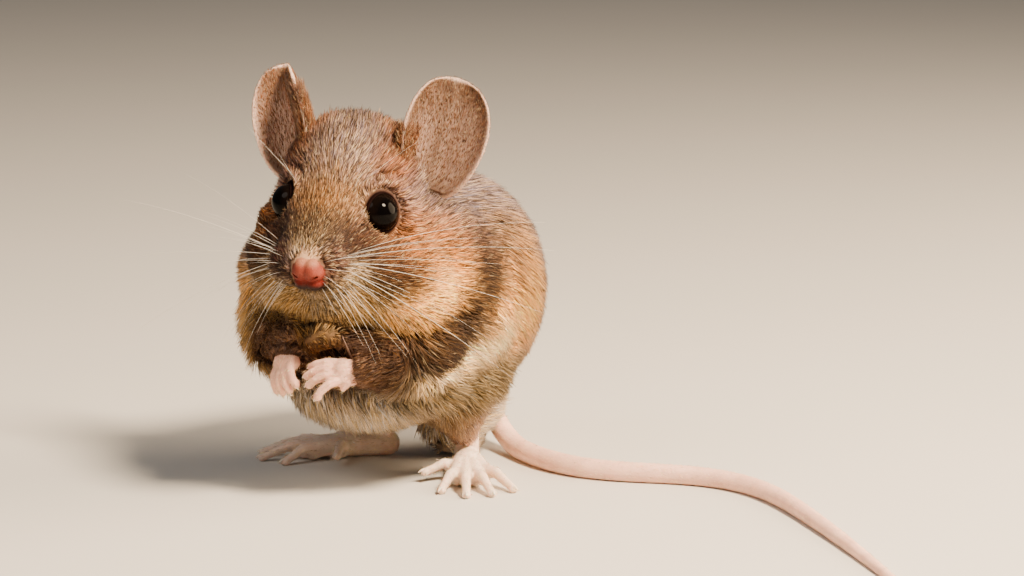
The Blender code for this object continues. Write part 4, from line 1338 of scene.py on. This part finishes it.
def tuft_mesh(name, roots, mids, tips, across, width, pigments, places):
    """Joins one slim spindle of six triangles for each tuft: a root point, a waist of three and a tip."""
    count = len(roots)
    out = unit(np.cross(unit(tips - roots), across))
    waist = width[:, None] * across
    points = np.stack([roots, mids + waist, mids + 0.55 * width[:, None] * out, mids - waist, tips], axis=1)
    shape = np.array([(1, 2, 4), (2, 3, 4), (3, 1, 4), (2, 1, 0), (3, 2, 0), (1, 3, 0)])
    faces = (np.arange(count)[:, None, None] * 5 + shape[None]).reshape(-1, 3)
    obj = mesh_of(name, points.reshape(-1, 3), faces)
    base, middle, tip = pigments
    paint(obj.data, "pigment", np.stack([base, middle, middle, middle, tip], axis=1).reshape(-1, 3))
    offsets = np.array([(0, -1), (-1, 0), (0, 0.1), (1, 0), (0, 1)]) * PATCH
    corners = (places[:, None] + offsets[None])[:, shape.ravel()]
    layer = obj.data.uv_layers.new(name="OFBake")
    layer.data.foreach_set("uv", corners.astype(np.float32).ravel())
    return obj


def lie_of_coat(points, normals):
    """Which way the coat lies: back from the nose, round the eyes and on to the root of the tail."""
    on_head = head_share(points)[:, None]
    run = mix(unit(TAIL_ROOT - points) + np.array((0, 0, -0.15)), unit(points - NOSE_TIP), on_head)
    for share, _, heading in limb_shares(points):
        run = mix(run, heading[None], share[:, None])
    for side in SIDES.values():
        place = eye_frame(side)
        local = moved(points, place.inverted())
        near = 1 - step(np.linalg.norm(local, axis=1), 3.2, 5.4)
        outward = unit(local * np.array((1, 1, 0))) @ np.array(place)[:3, :3].T
        run = mix(run, outward, 0.7 * near[:, None])
    return flattened_on(run, normals)


def flattened_on(run, normals):
    """The directions laid flat on the surface."""
    return unit(run - normals * (run * normals).sum(axis=1, keepdims=True))


HAND_REACH, ABOVE_FEET = 7.5, 11.0      # how far a hand reaches from its wrist, and a height over the feet


def lie_of_fine_hair(points, normals, region):
    """Fine hairs run up the ears to the rim, and along paws, feet and tail to their tips."""
    run = np.zeros((len(points), 3))
    if region in ("ears", "fringe"):
        for name, side in SIDES.items():
            local = moved(points, ear_frame(name).inverted())
            own = (moved(points, TO_HEAD)[:, 0] * side > 0)[:, None]
            fan = unit(local * np.array((1, 0, 1)) + np.array((0, 0, 7.0)))
            run = np.where(own, fan @ np.array(ear_frame(name))[:3, :3].T, run)
    elif region == "feet":
        for side in SIDES.values():
            for place, high in ((hand_frame(side), True), (foot_frame(side), False)):
                apart = np.linalg.norm(points - np.array(place.translation), axis=1)
                own = apart < HAND_REACH if high else points[:, 0] * side > 0
                own &= (points[:, 2] > ABOVE_FEET) == high
                run = np.where(own[:, None], np.array(place)[:3, 1], run)
    else:
        _, middles, headings = tail_line(120)
        at = headings[nearest(points, middles)]
        run = np.stack([np.cos(at), np.sin(at), np.zeros(len(at))], axis=1)
    return flattened_on(run, normals)


def spun(directions, normals, degrees):
    """The directions turned about the normals."""
    a = np.radians(degrees)[:, None]
    return directions * np.cos(a) + np.cross(normals, directions) * np.sin(a)


def off_the_eyes(points):
    """True where a point isn't over an eye."""
    clear = np.ones(len(points), bool)
    for side in SIDES.values():
        local = moved(points, eye_frame(side).inverted())
        clear &= ~((np.hypot(local[:, 0], local[:, 1]) < LID_OPENING) & (local[:, 2] > 0.4))
        clear &= np.linalg.norm(local, axis=1) > mm("eye_radius") + 0.05
    return clear


FRINGES = {"left": (-0.60, 0.5), "right": (-0.50, 0.80)}    # how far across and up each ear its fur goes
MUZZLE_START = 3.0                      # how far forward on the head the muzzle's coat starts
BELLY_EDGE, BELLY_SLOPE = 15.0, 0.1     # the height where the belly's coat ends, and how it falls to the rear
CHEST_BACK, CHEST_TOP = -24.0, 27.0     # what lies before and below these has the belly's coat
BACK_EDGE = 29.0                        # the height where the back's coat starts


def region_faces(surface, region, side):
    """The faces of the skin that belong to a region of the coat."""
    centres = surface.centres
    head = moved(centres, TO_HEAD)
    on_head = head_share(centres) > 0.5
    on_limb = np.max([share for share, _, _ in limb_shares(centres)], axis=0) > 0.5
    eyes = [moved(centres, eye_frame(eye).inverted()) for eye in SIDES.values()]
    off_lid = np.min([np.hypot(local[:, 0], local[:, 1]) for local in eyes], axis=0) > LID_OPENING + LID_TUBE
    furred = surface.face_part == PARTS.index("coat")
    furred |= (surface.face_part == PARTS.index("lid")) & off_lid
    under = centres[:, 2] < BELLY_EDGE - BELLY_SLOPE * centres[:, 1]
    under |= (centres[:, 1] < CHEST_BACK) & (centres[:, 2] < CHEST_TOP)
    high = centres[:, 2] > BACK_EDGE
    on_body = ~on_head & ~on_limb
    masks = {
        "muzzle": on_head & (head[:, 1] > MUZZLE_START),
        "head": on_head & (head[:, 1] <= MUZZLE_START),
        "limbs": ~on_head & on_limb,
        "belly": on_body & under,
        "back": on_body & ~under & high,
        "flank": on_body & ~under & ~high,
    }
    if region in BARE_REGIONS:
        mask = surface.face_part == PARTS.index(BARE_REGIONS[region])
        if region == "fringe":
            for name in SIDES:
                _, share, across = on_ear(centres, name)
                edge, top = FRINGES[name]
                mask &= ~(head[:, 0] * SIDES[name] > 0) | ((across < edge) & (share < top))
        return mask
    flank_of = head[:, 0] if region in ("muzzle", "head") else centres[:, 0]
    return furred & masks[region] & ((flank_of * side >= 0) if side else True)


LIMB_HAIR, WRIST_HAIR, EAR_TUFT, LID_HAIR = 3.4, 1.9, 4.4, 1.3      # lengths of tufts at these places


def coat_length(points, depth, region):
    """How long a tuft is, from how deep the coat is there."""
    if region in BARE_REGIONS:
        length = {"ears": mm("ear_hair"), "fringe": 1.7 * mm("ear_hair")}.get(region, mm("foot_hair"))
        rim = np.zeros(len(points))
        if region == "ears":
            for name in SIDES:
                _, share, across = on_ear(points, name)
                own = moved(points, TO_HEAD)[:, 0] * SIDES[name] > 0
                near_rim = np.maximum(step(np.abs(across), 0.8, 0.95), step(share, 0.9, 0.97))
                rim = np.where(own, near_rim, rim)
        return length * (1 - 0.6 * rim)
    on_head = head_share(points)
    head = moved(points, TO_HEAD)
    length = mix(mm("body_hair"), 1.6 * mm("face_hair"), on_head)
    length = mix(length, mm("face_hair"), on_head * step(head[:, 1], -5, 3))
    length = mix(length, mm("face_hair") * 0.62, on_head * step(head[:, 1], 5, 11))
    for share, along, _ in limb_shares(points):
        length = mix(length, mix(LIMB_HAIR, WRIST_HAIR, along), share)
    length = np.maximum(np.minimum(length, depth * 3.0 + 0.5), 0.5)
    length = mix(length, EAR_TUFT, ear_tufts(points))
    return mix(length, LID_HAIR, near_eyes(points, 3.1, 4.3))


def clumped(tips, roots, size, pull, rng):
    """The tips drawn together in clumps about as far apart as the size."""
    count = max(int(len(roots) * min(0.5, 0.12 / size)), 2)
    centres = rng.choice(len(roots), count, replace=False)
    group = nearest(roots, roots[centres])
    return mix(tips, tips[centres][group] + (roots - roots[centres][group]) * 0.35, pull), group


TUFT_TONES, CLUMP_TONES, TUFT_WARMTHS = 0.24, 0.22, 0.16        # how much single tufts and clumps differ
ROOT_GREY = np.array((0.06, 0.055, 0.055))


def coat_pigments(points, group, region, rng):
    """Base, middle and tip colours: grey at the root, the marking's own colour, and a dark or pale tip, the
    pale ones partly painted sheen.
    """
    tint, dark, pale = markings_and_painted_light(points)
    count = len(points)
    if region in BARE_TIPS:
        dark_share, pale_share = BARE_TIPS[region]
        dark, pale = dark * 0 + dark_share, pale * 0 + pale_share
    if region == "ears":
        tint = np.tile(mix(colour("ear_shade"), colour("brow"), 0.2), (count, 1))
        # Painted light: the right ear's hairs are painted lighter, as light shining through the ear
        on_left = moved(points, TO_HEAD)[:, :1] > 0
        tint = tint * np.where(on_left, EAR_PAINTED_LIGHT["left"], EAR_PAINTED_LIGHT["right"])
    elif region == "fringe":
        tint = mix(tint, mix(colour("ear_shade"), colour("brow"), 0.4), 0.75)
    elif region in ("feet", "tail"):
        tint = np.tile(mix(colour("paw"), colour("pale_tip_and_sheen"), 0.5), (count, 1))
    light = np.maximum(0.2 * near_eyes(points, 3.3, 4.1), 0.35 * bare_bridge(points))
    tint = mix(tint, colour("muzzle"), light[:, None])
    shade = rng.normal(1.0, TUFT_TONES, count) + CLUMP_TONES * rng.normal(size=group.max() + 1)[group]
    patch = 0.5 + 0.5 * wander(points, 3.5, 21)
    warmth = rng.normal(0, TUFT_WARMTHS, count)[:, None] * np.array((0.5, 0.0, -1.2))
    middle = tint * np.clip(shade, 0.35, 1.7)[:, None] * (1 + warmth)
    base = mix(middle * 0.42, ROOT_GREY, 0.35)
    base = mix(base, middle * 0.8, near_eyes(points, 4.0, 6.5)[:, None])
    is_dark = rng.uniform(size=count) < dark * (0.5 + patch) + 0.5 * follicles(points)
    # Pale tips are partly the hairs' own whitish tips and partly painted sheen
    is_pale = rng.uniform(size=count) < 0.9 * pale
    tip = middle * 1.15
    tip = np.where(is_pale[:, None], mix(tip, colour("pale_tip_and_sheen"), 0.5), tip)
    tip = np.where(is_dark[:, None], colour("dark_tip"), tip)
    middle = np.where(is_dark[:, None], mix(middle, colour("dark_tip"), 0.6), middle)
    return np.clip(base, 0, 1), np.clip(middle, 0, 1), np.clip(tip, 0, 1)


ROOT_DEPTH = 0.12               # how far under the skin a tuft starts
OVER_FLOOR = 0.1                # the least height of a tuft's middle and tip
SWIRL, SWIRL_SIZE = 14.0, 5.0   # how many degrees the lie of the coat wanders, and over what distance
STRAYS, STRAY_REACH = 0.02, 1.2         # the share of the tips that stand out further, and how much


def grow(surface, hull_tree, name, slot, region, side, count, width, spread, size, pull):
    """Makes one piece of the coat: tufts from evenly spread roots, laid, clumped and coloured."""
    rng = np.random.default_rng([SEED, len(name), count, side + 1])
    roots, normals, depth = surface.roots(region_faces(surface, region, side), count, rng)
    bare = region in BARE_REGIONS
    run = lie_of_fine_hair(roots, normals, region) if bare else lie_of_coat(roots, normals)
    run = spun(run, normals, rng.normal(0, spread, count) + SWIRL * wander(roots, SWIRL_SIZE, 3))
    length = coat_length(roots, depth, region) * rng.uniform(0.72, 1.12, count)
    if bare:
        lift = length * rng.uniform(0.06, 0.22, count) * (2.6 if region == "fringe" else 1.0)
    else:
        standing = 1 + (1.1 * crown(roots) + ear_tufts(roots)) * rng.uniform(size=count)
        least = 0.15 + 0.3 * near_eyes(roots, 3.3, 4.2)
        lift = np.clip(depth * rng.uniform(0.45, 1.02, count) * standing, least, length * 0.8)
    reach = np.sqrt(length ** 2 - lift ** 2)
    tips = roots + normals * lift[:, None] + run * reach[:, None]
    tips, group = clumped(tips, roots, size, pull, rng)
    if not bare:
        tips = np.where(near_eyes(roots, 4.0, 4.4)[:, None] > 0, tips, held_in(tips, hull_tree, rng))
    mids = mix(roots, tips, 0.45) + normals * (lift * 0.22)[:, None]
    keep = off_the_eyes(tips) & off_the_eyes(mids) & off_the_eyes(roots) & (tips[:, 2] > OVER_FLOOR)
    if not bare:
        keep &= rng.uniform(size=count) > np.maximum(0.85 * bare_bridge(roots), 0.6 * whisker_pads(roots))
    roots, normals, run, tips, mids, group = (x[keep] for x in (roots, normals, run, tips, mids, group))
    across = unit(np.cross(normals, run))
    across = spun(across, run, rng.normal(0, 25, len(roots)))
    pigments = coat_pigments(mix(roots, tips, 0.6), group, region, rng)
    widths = width * rng.uniform(0.6, 1.4, len(roots))
    mids[:, 2] = np.maximum(mids[:, 2], OVER_FLOOR)
    sunk = roots - normals * ROOT_DEPTH
    obj = tuft_mesh(name, sunk, mids, tips, across, widths, pigments, surface.patches(roots))
    finish_piece(obj, name, [fur_material()])


def held_in(tips, hull_tree, rng):
    """Brings tips that stand out of the coat's outline back to it, but for a little."""
    stray = np.abs(rng.normal(0, 0.3, len(tips))) * (1 + 2.5 * crown(tips) + 5 * ear_tufts(tips))
    stray += (rng.uniform(size=len(tips)) < STRAYS) * STRAY_REACH
    out = tips.copy()
    for i, tip in enumerate(tips):
        near, normal, _, apart = hull_tree.find_nearest(tip)
        if apart > stray[i] and (Vector(tip) - near).dot(normal) > 0:
            out[i] = near + normal * stray[i]
    return out


class MOUSE_OT_coat(bpy.types.Operator):
    """Grows the coat over the skin, in tufts that follow its lie"""
    bl_idname = "mouse.coat"
    bl_label = "Coat"

    def execute(self, context):
        hull = bpy.data.objects["hull"]
        hull_tree = surface_tree(hull.data)
        surface = Surface(bpy.data.objects["skin"])
        for row in COAT_PIECES:
            grow(surface, hull_tree, *row)
        bpy.data.objects.remove(hull)
        return {"FINISHED"}


# ---------------------------------------------------------------- whiskers

BRISTLE_SIDES = 5
MAIN_WHISKER, FINE_WHISKER, FACE_HAIR = 0.034, 0.022, 0.018     # radii at the root


def bristle(points, radii):
    """A tapered hair through the points, as an array of points and of triangles."""
    around = BRISTLE_SIDES
    heading = unit(np.gradient(points, axis=0))
    aside = unit(np.cross(heading, np.array((0.1, 0.2, 1.0))))
    up = np.cross(aside, heading)
    rings = rings_round(points, radii, aside, up, around)
    index = np.arange(len(points) * around).reshape(-1, around)
    after = np.roll(index, -1, axis=1)
    walls = np.concatenate([np.stack([index[:-1], after[1:], index[1:]], axis=-1).reshape(-1, 3),
                            np.stack([index[:-1], after[:-1], after[1:]], axis=-1).reshape(-1, 3)])
    root, tip = index[0], index[-1]
    caps = np.concatenate([np.stack([np.full(around - 2, root[0]), root[2:], root[1:-1]], axis=-1),
                           np.stack([np.full(around - 2, tip[0]), tip[1:-1], tip[2:]], axis=-1)])
    return rings.reshape(-1, 3), np.concatenate([walls, caps])


def fine_whisker(side, down, back, root, rng):
    """A finer whisker: those of the upper rows stand out to the side, and those of the lower rows hang."""
    length = mm("whisker_length") * (0.30 + 0.70 * back ** 0.8) * (1 - 0.45 * down)
    length *= rng.uniform(0.75, 1.05)
    rise = 0.42 - 1.7 * down ** 1.2 + rng.normal(0, 0.09)
    heading = unit(np.array((side, 0.20 - 0.65 * back + rng.normal(0, 0.1), rise)))
    s = np.linspace(0, 1, 12)[:, None]
    bend = np.array((0, -0.14, -0.10 - (0.12 + 0.3 * down) * rng.uniform()))
    return moved(np.array(root) + heading * length * s + bend * length * s ** 2, HEAD)


FACE_HAIRS = [  # root, heading and length of the long hairs over the eye and on the cheek
    ((4.6, 3.6, 4.6), (0.75, 0.15, 0.75), 11.0), ((4.0, 4.6, 4.2), (0.5, 0.3, 0.9), 6.0),
    ((10.4, -0.5, -5.0), (0.9, -0.2, -0.1), 9.0),
]
FACE_HAIR_BEND = np.array((0, -0.2, -0.1))


class MOUSE_OT_whiskers(bpy.types.Operator):
    """Makes the whiskers of both pads, with the few long hairs over the eyes and on the cheeks"""
    bl_idname = "mouse.whiskers"
    bl_label = "Whiskers"

    def execute(self, context):
        rng = np.random.default_rng(SEED)
        lines = []
        for side in SIDES.values():
            lines += [(np.array(whisker_line(side, *row, 12)), MAIN_WHISKER) for row in WHISKERS]
            lines += [(fine_whisker(side, *place, rng), FINE_WHISKER) for place in pad_roots(side)]
            for root, heading, length in FACE_HAIRS:
                s = np.linspace(0, 1, 10)[:, None]
                flip = np.array((side, 1, 1))
                line = root * flip + unit(heading * flip) * length * s + FACE_HAIR_BEND * length * s ** 2
                lines.append((moved(line, HEAD), FACE_HAIR))
        points, faces, tints, count = [], [], [], 0
        for line, radius in lines:
            s = np.linspace(0, 1, len(line))
            ring, wall = bristle(line, radius * (1 - 0.8 * s))
            points.append(ring)
            faces.append(wall + count)
            count += len(ring)
            share = np.repeat(step(s, 0.0, 0.25), BRISTLE_SIDES)[:, None]
            tints.append(mix(mix(colour("dark_tip"), colour("whisker"), 0.25), colour("whisker"), share))
        obj = mesh_of("whiskers", np.concatenate(points), np.concatenate(faces))
        paint(obj.data, "pigment", np.concatenate(tints))
        finish_piece(obj, "whiskers", [whisker_material()])
        return {"FINISHED"}


# ---------------------------------------------------------------- stage

VIEW_AZIMUTH, VIEW_ELEVATION, VIEW_DISTANCE = 38.0, 10.0, 500.0
VIEW_TARGET = Vector((4.43, 8.72, 23.49))
LENS, SENSOR = 123.05, 36.0
FLOOR_RADIUS = 4000.0
LAMP_TARGET = Vector((3, -15, 25))
LAMPS = [  # name, azimuth, elevation, distance, size, power and colour
    ("key", 84.0, 50.0, 420.0, 110.0, 7.4, "#ffe6c6"),
    ("rim", 132.0, 20.0, 460.0, 420.0, 5.6, "#ffe2bc"),
    ("fill", -20.0, 45.0, 600.0, 300.0, 1.1, "#fff6ec"),
]
SKY, SKY_STRENGTH = "#dfe6f0", 0.14


def direction(azimuth, elevation):
    """From the mouse towards something at this azimuth, from -Y towards +X, and elevation."""
    a, e = math.radians(azimuth), math.radians(elevation)
    return Vector((math.sin(a) * math.cos(e), -math.cos(a) * math.cos(e), math.sin(e)))


def lamp(name, azimuth, elevation, distance, size, power, code):
    """Adds a round area lamp that shines on the mouse, with its distance and size in millimetres."""
    light = bpy.data.lights.new(name, "AREA")
    light.shape, light.size, light.energy = "DISK", size * MM, power
    light.color = linear(code)[:3]
    obj = bpy.data.objects.new(name, light)
    obj.location = (LAMP_TARGET + direction(azimuth, elevation) * distance) * MM
    obj.rotation_euler = (-direction(azimuth, elevation)).to_track_quat("-Z", "Y").to_euler()
    bpy.context.scene.collection.objects.link(obj)


class MOUSE_OT_stage(bpy.types.Operator):
    """Sets the camera, the pale floor and the soft lights"""
    bl_idname = "mouse.stage"
    bl_label = "Stage"

    def execute(self, context):
        camera = bpy.data.cameras.new("camera")
        camera.lens, camera.sensor_width = LENS, SENSOR
        camera.clip_start, camera.clip_end = 10 * MM, 10000 * MM
        holder = bpy.data.objects.new("camera", camera)
        back = direction(VIEW_AZIMUTH, VIEW_ELEVATION)
        holder.location = (VIEW_TARGET + back * VIEW_DISTANCE) * MM
        holder.rotation_euler = (-back).to_track_quat("-Z", "Y").to_euler()
        context.scene.collection.objects.link(holder)
        context.scene.camera = holder
        floor = added(bpy.ops.mesh.primitive_circle_add, Matrix.Identity(4), vertices=64,
                      fill_type="NGON", radius=FLOOR_RADIUS * MM)
        floor.name = "floor"
        floor.data.materials.append(floor_material())
        for row in LAMPS:
            lamp(*row)
        world = bpy.data.worlds.new("studio")
        context.scene.world = world
        world.use_nodes = True
        background = world.node_tree.nodes["Background"]
        background.inputs["Color"].default_value = linear(SKY)
        background.inputs["Strength"].default_value = SKY_STRENGTH
        return {"FINISHED"}


class MOUSE_PT_panel(bpy.types.Panel):
    """The sizes, the colours and a button for each piece or group"""
    bl_idname = "MOUSE_PT_panel"
    bl_label = "Field Mouse"
    bl_space_type = "VIEW_3D"
    bl_region_type = "UI"
    bl_category = "Field Mouse"

    def draw(self, context):
        for group in (context.scene.mouse_sizes, context.scene.mouse_colours):
            box = self.layout.box()
            for name in group.__annotations__:
                box.prop(group, name)
        for operator in OPERATORS:
            self.layout.operator(operator.bl_idname)


OPERATORS = [MOUSE_OT_stage, MOUSE_OT_skin, MOUSE_OT_eyes, MOUSE_OT_claws, MOUSE_OT_coat, MOUSE_OT_whiskers]
CLASSES = [MouseSizes, MouseColours, *OPERATORS, MOUSE_PT_panel]


def register():
    for made in CLASSES:
        bpy.utils.register_class(made)
    bpy.types.Scene.mouse_sizes = bpy.props.PointerProperty(type=MouseSizes)
    bpy.types.Scene.mouse_colours = bpy.props.PointerProperty(type=MouseColours)


def unregister():
    del bpy.types.Scene.mouse_sizes, bpy.types.Scene.mouse_colours
    for made in reversed(CLASSES):
        bpy.utils.unregister_class(made)


def main():
    register()
    bpy.ops.mouse.stage()
    bpy.ops.mouse.skin()
    bpy.ops.mouse.eyes()
    bpy.ops.mouse.claws()
    bpy.ops.mouse.coat()
    bpy.ops.mouse.whiskers()


if __name__ == "__main__":
    main()
